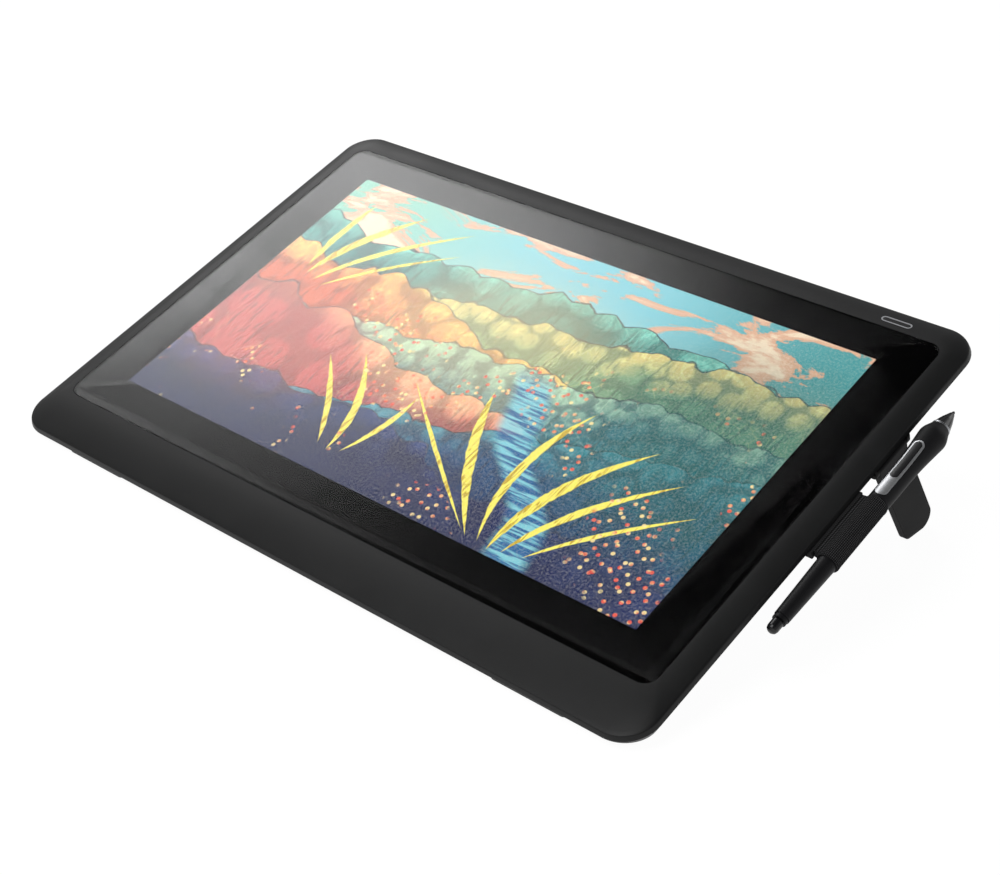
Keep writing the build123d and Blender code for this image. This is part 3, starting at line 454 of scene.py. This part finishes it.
class Picture(Finish):
    """The lit picture: a made-up valley of hill rows, groves and water, in the manner of a coloured
    ink drawing. It is drawn from noise alone, on the picture's own width u and height v."""

    def __init__(self):
        super().__init__("lit_picture", "2D")
        x, y, self.z = self.apart(self.slab_place())
        self.u = x / PICTURE_WIDTH + 0.5
        self.v = y / PICTURE_HEIGHT + 0.5
        self.flat = self.together(self.u * 1.78, self.v)
        self.drift = self.noise(self.flat, 3.2, 5, 0.6, 0.6)
        self.fine = self.noise(self.flat, 26, 4, 0.65)
        strokes = self.stretched(self.flat, 60.0, 7.0)
        self.hatch = self.noise(strokes, 1.4, 2, 0.5, 1.2).step(0.55, 0.62)

    def ridge(self, across, level, swing, rate, seed, detail=3.0):
        """A wandering line's height over a run of the picture."""
        spot = self.together(across * rate, seed)
        return level + (self.noise(spot, 1.0, detail, 0.55) - 0.5) * (2 * swing)

    def sky(self):
        """Mint on the left, pale blue in the middle, teal on the right, and banks of warm cloud."""
        u, v = self.u, self.v
        colour = self.mix(u.step(0.05, 0.50), (0.25, 0.60, 0.46), (0.22, 0.62, 0.70))
        colour = self.mix(u.step(0.60, 1.0), colour, (0.06, 0.33, 0.34))
        colour = self.mix((1 - v).step(0.10, 0.50) * 0.55, colour, (0.74, 0.70, 0.46))
        banks = self.noise(self.stretched(self.flat, 1.0, 2.4), 3.0, 6, 0.62, 0.5)
        bank = banks.step(0.52, 0.55) * v.step(0.58, 0.74)
        colour = self.mix(bank * 0.9, colour, (0.84, 0.45, 0.27))
        return self.mix(bank * banks.step(0.56, 0.66), colour, (0.93, 0.76, 0.55))

    def hills(self, colour):
        """Rows of hills and tree crowns, with contour strokes where lit and hatching in shade."""
        u, v, fine, drift = self.u, self.v, self.fine, self.drift
        swirl = self.noise(self.flat, 4.2, 2, 0.5, 0.9) * 13
        contours = 1 - abs(swirl.maths("FRACT") - 0.5).step(0.03, 0.09)
        for level, slope, swing, rate, seed, crowns, deep, light in HILLS:
            spot = self.shifted(self.flat, seed)
            clumps = self.cells(spot, crowns, "SMOOTH_F1", Smoothness=0.15)
            lines = self.cells(spot, 2.2 * crowns, "DISTANCE_TO_EDGE")
            base = self.ridge(u, level, swing, rate, seed) + (u - 0.5) * slope
            top = base - clumps * (0.5 / crowns) + (fine - 0.5) * 0.012
            below = top - v
            lit = (1 - below * 5.5 - clumps * 0.5 + (drift - 0.5) * 1.3).step(0.05, 0.95)
            bright = tuple(min(1.0, part) for part in times(light, 1.5, 0.05))
            tint = self.mix(lit, deep, light)
            tint = self.mix(fine.step(0.55, 0.62) * lit * 0.6, tint, bright)
            strokes = (1 - lines.step(0.012, 0.05)) * drift.step(0.40, 0.60)
            tint = self.mix(strokes * 0.45, tint, bright)
            tint = self.mix(contours * lit * 0.55, tint, bright)
            tint = self.mix(self.hatch * (1.25 - lit) * 0.6, tint, times(deep, 0.3))
            gaps = (clumps - 0.30).step(0.10, 0.30)
            tint = self.mix(gaps * 0.6, tint, times(deep, 0.4))
            colour = self.mix(below.step(-0.0015, 0.0015), colour, tint)
            edge = (1 - abs(below).step(0.0014, 0.0036)) * 0.8
            colour = self.mix(edge, colour, (0.02, 0.02, 0.04))
        return colour

    def tints(self, colour):
        """The broad patches of PATCHES, and indigo towards the bottom."""
        for at_u, at_v, reach_u, reach_v, strength, tint in PATCHES:
            across = (self.u - at_u + (self.drift - 0.5) * 0.16) / reach_u
            up = (self.v - at_v + (self.fine - 0.5) * 0.10) / reach_v
            patch = 1 - (across * across + up * up).maths("SQRT").step(0.45, 1.55)
            colour = self.mix(patch * strength, colour, tint)
        bow = abs(self.u - 0.60) * 0.22
        night = (1 - self.v + (self.drift - 0.5) * 0.35 - bow).step(0.62, 0.90)
        return self.mix(night * 0.72, colour, (0.006, 0.014, 0.085))

    def river(self, colour):
        """A river of thin streaks."""
        u, v = self.u, self.v
        middle = self.ridge(v, 0.60, 0.12, 2.0, 31.0, 1.0)
        stream = 1 - abs(u - middle + (v - 0.5) * 0.35).step(0.02, 0.045)
        stream = stream * (1 - v.step(0.50, 0.58))
        streaks = self.noise(self.stretched(self.flat, 3.0, 40.0), 2.0, 3, 0.6, 0.3)
        water = self.mix(streaks.step(0.42, 0.60), (0.01, 0.13, 0.34), (0.24, 0.66, 0.74))
        return self.mix(stream * 0.9, colour, water)

    def grass(self, colour):
        """Bent blades of tall grass, in three fans."""
        blades = 0.0
        for root_u, root_v, lean, curve, tall, width in BLADES:
            rise = self.v - root_v
            share = rise * (1 / tall)
            middle = rise * lean - rise * rise * curve + root_u
            half = share * (1 - share) * (4 * width) * (0.55 + 0.9 * self.fine)
            blade = (half - abs(self.u - middle)).step(0.0, 0.0012) * share.step(0.0, 0.02)
            blades = blade.maths("MAXIMUM", blades)
        tint = self.mix(self.hatch, (0.98, 0.88, 0.13), (0.62, 0.42, 0.02))
        return self.mix(blades, colour, tint)

    def petals(self, colour):
        """Bright petals among the crowns."""
        petal = 1 - self.cells(self.flat, 34.0).step(0.18, 0.22)
        petal = petal * self.drift.step(0.53, 0.60) * (1 - self.v.step(0.60, 0.70))
        tint = self.mix(self.fine.step(0.4, 0.6), (0.86, 0.10, 0.05), (0.98, 0.80, 0.34))
        return self.mix(petal * 0.85, colour, tint)

    def drawn(self):
        """The whole picture on the panel's front, and black round it."""
        colour = self.petals(self.grass(self.river(self.tints(self.hills(self.sky())))))
        paper = self.noise(self.flat, 150, 2, 0.6).step(0.40, 0.75)
        colour = self.mix(paper * 0.12, colour, (1.0, 0.96, 0.84))
        shown = self.z.step(-0.2 * MM, -0.1 * MM)
        for run in (self.u, self.v):
            shown = shown * (1 - abs(run - 0.5).step(0.4995, 0.5))
        return self.surface(Base_Color=(0.002, 0.002, 0.002), Roughness=0.6,
                            Specular_IOR_Level=0.0, Emission_Strength=PICTURE_LEVEL,
                            Emission_Color=self.mix(shown, (0, 0, 0), colour))


BLACK = (0.0125, 0.0127, 0.0130)
finishes = {
    "bezel": textured_plastic("bezel_black", BLACK, 0.40, 0.22),
    "cover": textured_plastic("cover_black", BLACK, 0.50, 0.30, 0.5 * MM, 0.03 * MM),
    "leg": textured_plastic("leg_grey", (0.0085, 0.0085, 0.0090), 0.56, 0.06, 0.4 * MM),
    "glass": etched_glass(),
    "print": flat_print("printed_black", (0.0006, 0.0006, 0.0007), 0.6, 0.0),
    "picture": Picture().drawn(),
    "rubber": soft_rubber("rubber_black", (0.014, 0.014, 0.015), 0.72),
    "grip": soft_rubber("grip_rubber", (0.010, 0.010, 0.011), 0.55, 0.15),
    "gloss": gloss_plastic("pen_gloss", (0.008, 0.008, 0.009), 0.26),
    "satin": gloss_plastic("pen_satin", (0.008, 0.008, 0.009), 0.46, 0.16),
    "coated": gloss_plastic("coated_steel", (0.008, 0.008, 0.008), 0.55, 0.10),
    "rocker": gloss_plastic("switch_black", (0.010, 0.010, 0.011), 0.42),
    "silver": brushed_metal("satin_silver", (0.64, 0.65, 0.67), 0.40),
    "ring": brushed_metal("ring_silver", (0.45, 0.46, 0.48), 0.34, (2200, 60, 2200)),
    "steel": brushed_metal("plain_steel", (0.50, 0.50, 0.51), 0.32),
    "brass": brushed_metal("brass_insert", (0.62, 0.48, 0.24), 0.30),
    "nib": soft_rubber("nib_grey", (0.030, 0.030, 0.032), 0.55),
    "knit": knit(),
    "lens": flat_print("ring_light_guide", (0.42, 0.43, 0.45), 0.30),
    "board": circuit("board_green", (0.012, 0.075, 0.040)),
    "coil_board": circuit("board_dark", (0.010, 0.030, 0.060)),
    "chip": flat_print("chip_black", (0.018, 0.018, 0.018), 0.55),
    "film": flat_print("cable_film", (0.30, 0.14, 0.03), 0.35),
    "white": flat_print("moulded_white", (0.70, 0.70, 0.68), 0.45),
}

# Layers and boards whose CAD shape stays as it is
KEPT_NODES = {
    "picture": ("screen_panel",),
    "print": ("glass_border",),
    "coil_board": ("digitizer_board",),
    "board": ("main_board", "button_board", "pen_board"),
    "steel": ("shield_plate", "chassis", "shield_can"),
    "brass": ("standoffs",),
    "chip": ("panel_frame", "board_chips", "push_switch", "pen_core"),
    "white": ("backlight_unit", "cable_sockets"),
    "film": ("panel_cable", "digitizer_cable", "button_cable"),
}
for finish, nodes in KEPT_NODES.items():
    for node in nodes:
        slots = frame["nodes"][node].data.materials
        slots.clear()
        slots.append(finishes[finish])


# Mesh helpers

def new_piece(name, bm, finish, body, replaced, crease=30, bevel=0.0):
    """Makes a piece of a bmesh, in the row's frame, and hangs it on its body."""
    mesh = bpy.data.meshes.new(name)
    bm.to_mesh(mesh)
    bm.free()
    mesh.materials.append(finishes[finish])
    mesh.shade_smooth()
    mesh.set_sharp_from_angle(angle=radians(crease))
    piece = bpy.data.objects.new(name, mesh)
    bpy.context.scene.collection.objects.link(piece)
    if bevel:
        edge = piece.modifiers.new("edge", "BEVEL")
        edge.width = bevel
        edge.segments = 2
        edge.limit_method = "ANGLE"
        edge.angle_limit = radians(crease)
        edge.use_clamp_overlap = True
        weight = piece.modifiers.new("normals", "WEIGHTED_NORMAL")
        weight.keep_sharp = True
    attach(piece, body)
    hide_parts(replaced)
    return piece


def dressed(node, finish, bevel):
    """A merged, smoothly shaded copy of a CAD node with fine edges."""
    cad = frame["nodes"][node]
    bm = bmesh.new()
    bm.from_mesh(cad.data)
    bmesh.ops.remove_doubles(bm, verts=bm.verts, dist=WELD)
    bmesh.ops.dissolve_limit(bm, angle_limit=radians(0.5), verts=bm.verts, edges=bm.edges)
    return new_piece(node + "_dressed", bm, finish, body_of(cad)[0], node, bevel=bevel)


def between(start, end, share):
    return start + (end - start) * share


def swept(levels):
    """A skin through rounded rectangles, each a width, front, rear, corner radius and height.
    A circle is drawn up through as many heights as there are levels, and each ring then opens
    into its own rectangle."""
    bm = bmesh.new()
    half_step = pi / (4 * CORNER_STEPS)
    bmesh.ops.create_circle(bm, segments=4 * CORNER_STEPS, radius=1 / cos(half_step))
    bmesh.ops.rotate(bm, verts=bm.verts, matrix=Matrix.Rotation(half_step, 3, "Z"))
    ring = bm.edges[:]
    for _ in levels[1:]:
        made = bmesh.ops.extrude_edge_only(bm, edges=ring)["geom"]
        ring = [item for item in made if isinstance(item, bmesh.types.BMEdge) and
                len(item.link_faces) == 1]
        raised = list({vert for edge in ring for vert in edge.verts})
        bmesh.ops.translate(bm, vec=(0, 0, 1), verts=raised)
    for vert in bm.verts:
        width, front, rear, radius, height = levels[round(vert.co.z)]
        side = 1 if vert.co.x > 0 else -1
        end = 1 if vert.co.y > 0 else -1
        across = side * (width / 2 - radius) + radius * vert.co.x
        along = (front + rear) / 2 + end * ((rear - front) / 2 - radius) + radius * vert.co.y
        vert.co = (across, along, height)
    bmesh.ops.remove_doubles(bm, verts=bm.verts, dist=WELD)
    return bm


def pill(length, width, height):
    """A block with round ends that lies along X and stands on zero."""
    block = bmesh.new()
    outline = bmesh.ops.create_circle(block, segments=PILL_STEPS, radius=width / 2,
                                      cap_ends=True)["verts"]
    half = (length - width) / 2
    for vert in outline:
        vert.co.x += half if vert.co.x > 0 else -half
    raised = bmesh.ops.extrude_face_region(block, geom=block.faces[:])
    top = [item for item in raised["geom"] if isinstance(item, bmesh.types.BMVert)]
    bmesh.ops.translate(block, vec=(0, 0, height), verts=top)
    bmesh.ops.recalc_face_normals(block, faces=block.faces)
    return block


def upright_pill(length, width, rear):
    """A pill over the pen's axis, lying along the pen from a place on it."""
    block = pill(length, width, CUTTER_HEIGHT)
    turn = Matrix.Rotation(pi / 2, 4, "Z")
    block.transform(Matrix.Translation((0, rear + length / 2, 0)) @ turn)
    return block


def carved(blank, tool, operation="DIFFERENCE"):
    """What a tool leaves of a blank, or what the two have in common."""
    made = []
    for bm in (blank, tool):
        mesh = bpy.data.meshes.new("blank")
        bm.to_mesh(mesh)
        bm.free()
        made.append(bpy.data.objects.new("blank", mesh))
        bpy.context.scene.collection.objects.link(made[-1])
    cut = made[0].modifiers.new("cut", "BOOLEAN")
    cut.object = made[1]
    cut.operation = operation
    cut.solver = "EXACT"
    result = bmesh.new()
    result.from_object(made[0], bpy.context.evaluated_depsgraph_get())
    for item in made:
        mesh = item.data
        bpy.data.objects.remove(item)
        bpy.data.meshes.remove(mesh)
    return result


def turned(outline, steps):
    """Turns a closed outline about the pen's axis. Each point is a radius and a place along it."""
    bm = bmesh.new()
    verts = [bm.verts.new((radius, along, 0)) for radius, along in outline]
    edges = [bm.edges.new(pair) for pair in zip(verts, verts[1:] + verts[:1])]
    bmesh.ops.spin(bm, geom=[*verts, *edges], axis=(0, 1, 0), cent=(0, 0, 0), angle=2 * pi,
                   steps=steps, use_merge=True)
    bmesh.ops.recalc_face_normals(bm, faces=bm.faces)
    return bm


def laid(bm):
    """Moves what is made about the pen's axis to the pen's place."""
    bm.transform(SLAB @ Matrix.Translation((PEN_X, 0, PEN_Z)))
    return bm


# The front bezel

def body_level(inset, height):
    return (BODY_WIDTH - 2 * inset, BODY_FRONT + inset, BODY_REAR - inset,
            BODY_RADIUS - inset, height)


def glass_level(inset, height):
    return (GLASS_WIDTH - 2 * inset, GLASS_FRONT + inset, GLASS_REAR - inset,
            max(GLASS_RADIUS - inset, GLASS_RADIUS / 2), height)


def make_bezel():
    """The front bezel: its crown falls from the glass to a small rounded rim over a short skirt."""
    levels = []
    for count in range(CROWN_STEPS + 1):
        share = count / CROWN_STEPS * CROWN_END
        pairs = zip(glass_level(-GLASS_GAP, 0), body_level(RIM_INSET, 0))
        outline = [between(inner, outer, share) for inner, outer in pairs][:4]
        levels.append((*outline, GLASS_TOP - RIM_DROP * share ** 2))
    rim = GLASS_TOP - RIM_DROP
    for drop, out in RIM_ROUND:
        levels.append(body_level(RIM_INSET - out * MM, rim - drop * MM))
    levels += [body_level(0, PARTING + PARTING_CHAMFER), body_level(PARTING_CHAMFER, PARTING),
               body_level(RIM_INSET + WALL, PARTING), body_level(RIM_INSET + WALL, BEZEL_UNDER),
               glass_level(LEDGE, BEZEL_UNDER), glass_level(LEDGE, PRINT_GAP),
               glass_level(-GLASS_GAP, PRINT_GAP), glass_level(-GLASS_GAP, GLASS_TOP - MOUTH_SUNK)]
    bm = swept(levels + levels[:1])
    for side in (-1, 1):
        bmesh.ops.bisect_plane(bm, geom=[*bm.verts, *bm.edges, *bm.faces], plane_no=(1, 0, 0),
                               plane_co=(BUTTON.x + side * BUTTON_CUT, 0, 0), dist=WELD)
    bmesh.ops.recalc_face_normals(bm, faces=bm.faces)
    hole = pill(RING_LENGTH, RING_HEIGHT, CUTTER_HEIGHT)
    hole.transform(Matrix.Translation(BUTTON + Vector((0, 0, -CUTTER_HEIGHT / 2))))
    bm = carved(bm, hole)
    bm.transform(SLAB)
    return bm


new_piece("front_bezel_crowned", make_bezel(), "bezel", "tablet", "front_bezel", crease=34)

for node, finish, bevel in (
        ("rear_cover", "cover", 0.0), ("cover_glass", "glass", GLASS_BEVEL),
        ("light_ring", "lens", 0.08 * MM), ("power_button", "rocker", 0.1 * MM),
        ("stand_inserts", "brass", 0.0),
        ("front_feet", "rubber", 0.3 * MM), ("rear_pads", "rubber", 0.25 * MM),
        ("right_leg", "leg", 0.3 * MM), ("left_leg", "leg", 0.3 * MM),
        ("right_leg_sole", "rubber", 0.25 * MM), ("left_leg_sole", "rubber", 0.25 * MM),
        ("right_hinge_bracket", "coated", 0.0), ("left_hinge_bracket", "coated", 0.0),
        ("right_hinge_pin", "coated", 0.1 * MM), ("left_hinge_pin", "coated", 0.1 * MM),
        ("spare_nibs", "nib", 0.1 * MM), ("port_connector", "steel", 0.05 * MM),
        ("loop_plug", "rubber", 0.3 * MM), ("pen_nose", "gloss", 0.08 * MM),
        ("pen_nose_ring", "ring", 0.05 * MM), ("pen_barrel", "satin", 0.1 * MM),
        ("pen_tail_ring", "satin", 0.1 * MM), ("pen_eraser", "gloss", 0.08 * MM),
        ("pen_nib", "nib", 0.06 * MM)):
    dressed(node, finish, bevel)


# The pen's grip, with its plate and rocker

def straight_radius(along):
    """The grip's radius before its shoulder and waist are rounded, all in millimetres."""
    for (low, start), (high, end) in zip(GRIP_RUNS, GRIP_RUNS[1:]):
        if along <= high:
            break
    return between(start, end, (along - low) / (high - low))


def grip_layer(proud, inner):
    """The grip's tube from an inner radius to its outer one and a little more. An inner radius
    below zero is counted from the outer one."""
    front, rear = GRIP_RUNS[-1][0], GRIP_RUNS[0][0]
    outer = []
    for row in range(GRIP_ROWS + 1):
        along = between(rear, front, row / GRIP_ROWS)
        reach = SHOULDER_ROUNDING if along > SHOULDER_START else WAIST_ROUNDING
        near = [straight_radius(along + reach * step / ROUNDING_STEPS)
                for step in range(-ROUNDING_STEPS, ROUNDING_STEPS + 1)]
        outer.append((sum(near) / len(near) * MM, along * MM))
    inside = [(radius + inner if inner < 0 else inner, along) for radius, along in reversed(outer)]
    return turned([(radius + proud, along) for radius, along in outer] + inside, GRIP_STEPS)


def make_grip():
    window = upright_pill(PLATE_LENGTH, PLATE_WIDTH, PLATE_FRONT - PLATE_LENGTH)
    return laid(carved(grip_layer(0, GRIP_BORE), window))


def make_plate():
    """The metal plate with the rocker's window."""
    layer = grip_layer(PLATE_PROUD, -PLATE_DEPTH)
    blank = upright_pill(PLATE_LENGTH, PLATE_WIDTH, PLATE_FRONT - PLATE_LENGTH)
    length = ROCKER_LENGTH + 2 * ROCKER_GAP
    window = upright_pill(length, PLATE_WIDTH - 2 * PLATE_RIM, PLATE_FRONT - PLATE_RIM - length)
    return laid(carved(carved(layer, blank, "INTERSECT"), window))


def make_rocker():
    layer = grip_layer(ROCKER_PROUD, -ROCKER_DEPTH)
    cap = upright_pill(ROCKER_LENGTH, PLATE_WIDTH - 2 * PLATE_RIM - 2 * ROCKER_GAP,
                       PLATE_FRONT - PLATE_RIM - ROCKER_GAP - ROCKER_LENGTH)
    return laid(carved(layer, cap, "INTERSECT"))


new_piece("grip_sleeve", make_grip(), "grip", "pen", "pen_grip", crease=35)
new_piece("switch_plate", make_plate(), "silver", "pen", "switch_frame", crease=35, bevel=0.1 * MM)
new_piece("switch_rocker", make_rocker(), "rocker", "side_switch", "side_switch", crease=35,
          bevel=0.2 * MM)


# The knitted loop round the pen

def make_sleeve():
    """The sleeve round the barrel: a turned tube whose ribs and hems are raised point by point."""
    rows = int((LOOP_FRONT - LOOP_REAR) / (COURSE_PITCH / STITCH_STEPS))
    outline = [(LOOP_BORE, LOOP_REAR)]
    outline += [(LOOP_OUTER, between(LOOP_REAR, LOOP_FRONT, row / rows)) for row in range(rows + 1)]
    outline += [(LOOP_BORE, LOOP_FRONT)]
    bm = turned(outline, STITCH_STEPS * RIBS)
    for vert in bm.verts:
        radius = sqrt(vert.co.x ** 2 + vert.co.z ** 2)
        if radius < (LOOP_BORE + LOOP_OUTER) / 2:
            continue
        turn = Vector((1, 0)).angle_signed(Vector((vert.co.x, vert.co.z)), 0)
        from_end = min(vert.co.y - LOOP_REAR, LOOP_FRONT - vert.co.y)
        hem = HEM_PROUD if from_end < HEM_LENGTH else 0.0
        rounding = min(1.0, max(0.0, from_end / END_LENGTH))
        rib = RIB_DEPTH * (0.5 - 0.5 * cos(RIBS * turn))
        line = COURSE_DEPTH * (0.5 - 0.5 * cos(2 * pi * (vert.co.y - LOOP_REAR) / COURSE_PITCH))
        wanted = LOOP_OUTER + hem - rib - line - END_DROP * (1 - sqrt(rounding))
        vert.co.x *= wanted / radius
        vert.co.z *= wanted / radius
    return laid(bm)


def make_web():
    """The doubled band from the sleeve to its plug, drawn in towards the slot."""
    bm = bmesh.new()
    reach = PEN_X - BODY_WIDTH / 2 - PLUG_FLANGE
    block = bmesh.ops.create_cube(bm, size=1.0)["verts"]
    bmesh.ops.scale(bm, vec=(reach, LOOP_FRONT - LOOP_REAR - HEM_LENGTH, 1), verts=block)
    bmesh.ops.subdivide_edges(bm, edges=bm.edges, cuts=WEB_CUTS, use_grid_fill=True)
    for vert in bm.verts:
        share = 0.5 - vert.co.x / reach
        half = between(LOOP_OUTER - RIB_DEPTH, WEB_HALF, share ** WEB_TAPER)
        vert.co.z = vert.co.z * 2 * half + between(0, WEB_Z, share)
        vert.co.x = -share * reach
        vert.co.y += (LOOP_FRONT + LOOP_REAR) / 2
    bmesh.ops.recalc_face_normals(bm, faces=bm.faces)
    return laid(bm)


sleeve = new_piece("loop_sleeve", make_sleeve(), "knit", "pen_loop", "pen_loop", crease=60)
web = new_piece("loop_web", make_web(), "knit", "pen_loop", "pen_loop", crease=60)


# Floor, lights and camera

def make_floor():
    """A pale floor, white where it is looked at, with the object's soft shadow left on it."""
    finish = Finish("pale_floor")
    path = finish.add("LightPath")
    seen = path["Is Camera Ray"] + path["Is Glossy Ray"] + path["Is Transmission Ray"]
    mottle = finish.noise(finish.place(), 3, 2, 0.5)
    shade = finish.mix(mottle, (0.86, 0.86, 0.86), (0.88, 0.88, 0.88))
    lit = finish.add("BsdfDiffuse", None, {"Color": shade})["BSDF"]
    glow = {"Color": (1, 1, 1, 1), "Strength": FLOOR_LEVEL}
    white = finish.add("Emission", None, glow)["Emission"]
    share = (seen * FLOOR_WHITE).maths("MINIMUM", FLOOR_WHITE)
    finish.close(finish.add("MixShader", None, {0: share, 1: lit, 2: white})["Shader"])
    bm = bmesh.new()
    bmesh.ops.create_grid(bm, x_segments=1, y_segments=1, size=FLOOR_HALF)
    mesh = bpy.data.meshes.new("floor")
    bm.to_mesh(mesh)
    bm.free()
    mesh.materials.append(finish.material)
    floor = bpy.data.objects.new("floor", mesh)
    bpy.context.scene.collection.objects.link(floor)


def towards(azimuth, elevation):
    """The direction from the object to a place in the studio."""
    a, e = radians(azimuth), radians(elevation)
    return Vector((cos(e) * cos(a), cos(e) * sin(a), sin(e)))


def softbox(name, azimuth, elevation, width, height, radiance):
    lamp = bpy.data.lights.new(name, "AREA")
    lamp.shape = "RECTANGLE"
    lamp.size = width
    lamp.size_y = height
    lamp.energy = radiance * pi * width * height
    holder = bpy.data.objects.new(name, lamp)
    bpy.context.scene.collection.objects.link(holder)
    place = towards(azimuth, elevation) * LAMP_DISTANCE
    holder.location = place
    holder.rotation_euler = (-place).to_track_quat("-Z", "Y").to_euler()


def make_world():
    """A bright surround low down that falls away towards the top, with a soft round glow at the
    rear. Where it is looked at, it is white."""
    world = bpy.data.worlds.new("studio")
    bpy.context.scene.world = world
    world.use_nodes = True
    studio = Nodes(world.node_tree)
    place = studio.add("TexCoord")["Generated"]
    low, high = (sin(radians(elevation)) for elevation in SURROUND_SPAN)
    height = studio.apart(place)[2]
    surround = SURROUND_LOW - height.step(low, high) * (SURROUND_LOW - SURROUND_TOP)
    inputs = {0: place, 1: towards(*GLOW_PLACE)}
    facing = studio.add("VectorMath", {"operation": "DOT_PRODUCT"}, inputs)["Value"]
    glow = facing.step(cos(radians(GLOW_REACH)), cos(radians(GLOW_CORE))) * GLOW_LEVEL
    path = studio.add("LightPath")
    seen = path["Is Camera Ray"] + path["Is Transmission Ray"]
    inputs = {"Color": (1, 1, 1, 1), "Strength": (surround + glow).maths("MAXIMUM", seen)}
    light = studio.add("Background", None, inputs)["Background"]
    studio.add("OutputWorld", None, {"Surface": light})


def make_camera():
    scene = bpy.context.scene
    camera = bpy.data.objects.new("camera", bpy.data.cameras.new("camera"))
    scene.collection.objects.link(camera)
    camera.data.sensor_fit = "HORIZONTAL"
    camera.data.sensor_width = SENSOR
    camera.data.lens = LENS
    camera.data.clip_end = FAR_CLIP
    turn = Euler(CAMERA_TURN, "XYZ").to_matrix().to_4x4()
    camera.matrix_world = SLAB @ Matrix.Translation(CAMERA_PLACE) @ turn
    scene.camera = camera


make_floor()
softbox("top_softbox", -110, 62, 1.6, 1.6, 4.5)
softbox("back_fill", 70, 24, 1.8, 1.2, 1.6)
make_world()
make_camera()
bpy.context.scene.view_settings.view_transform = "Standard"
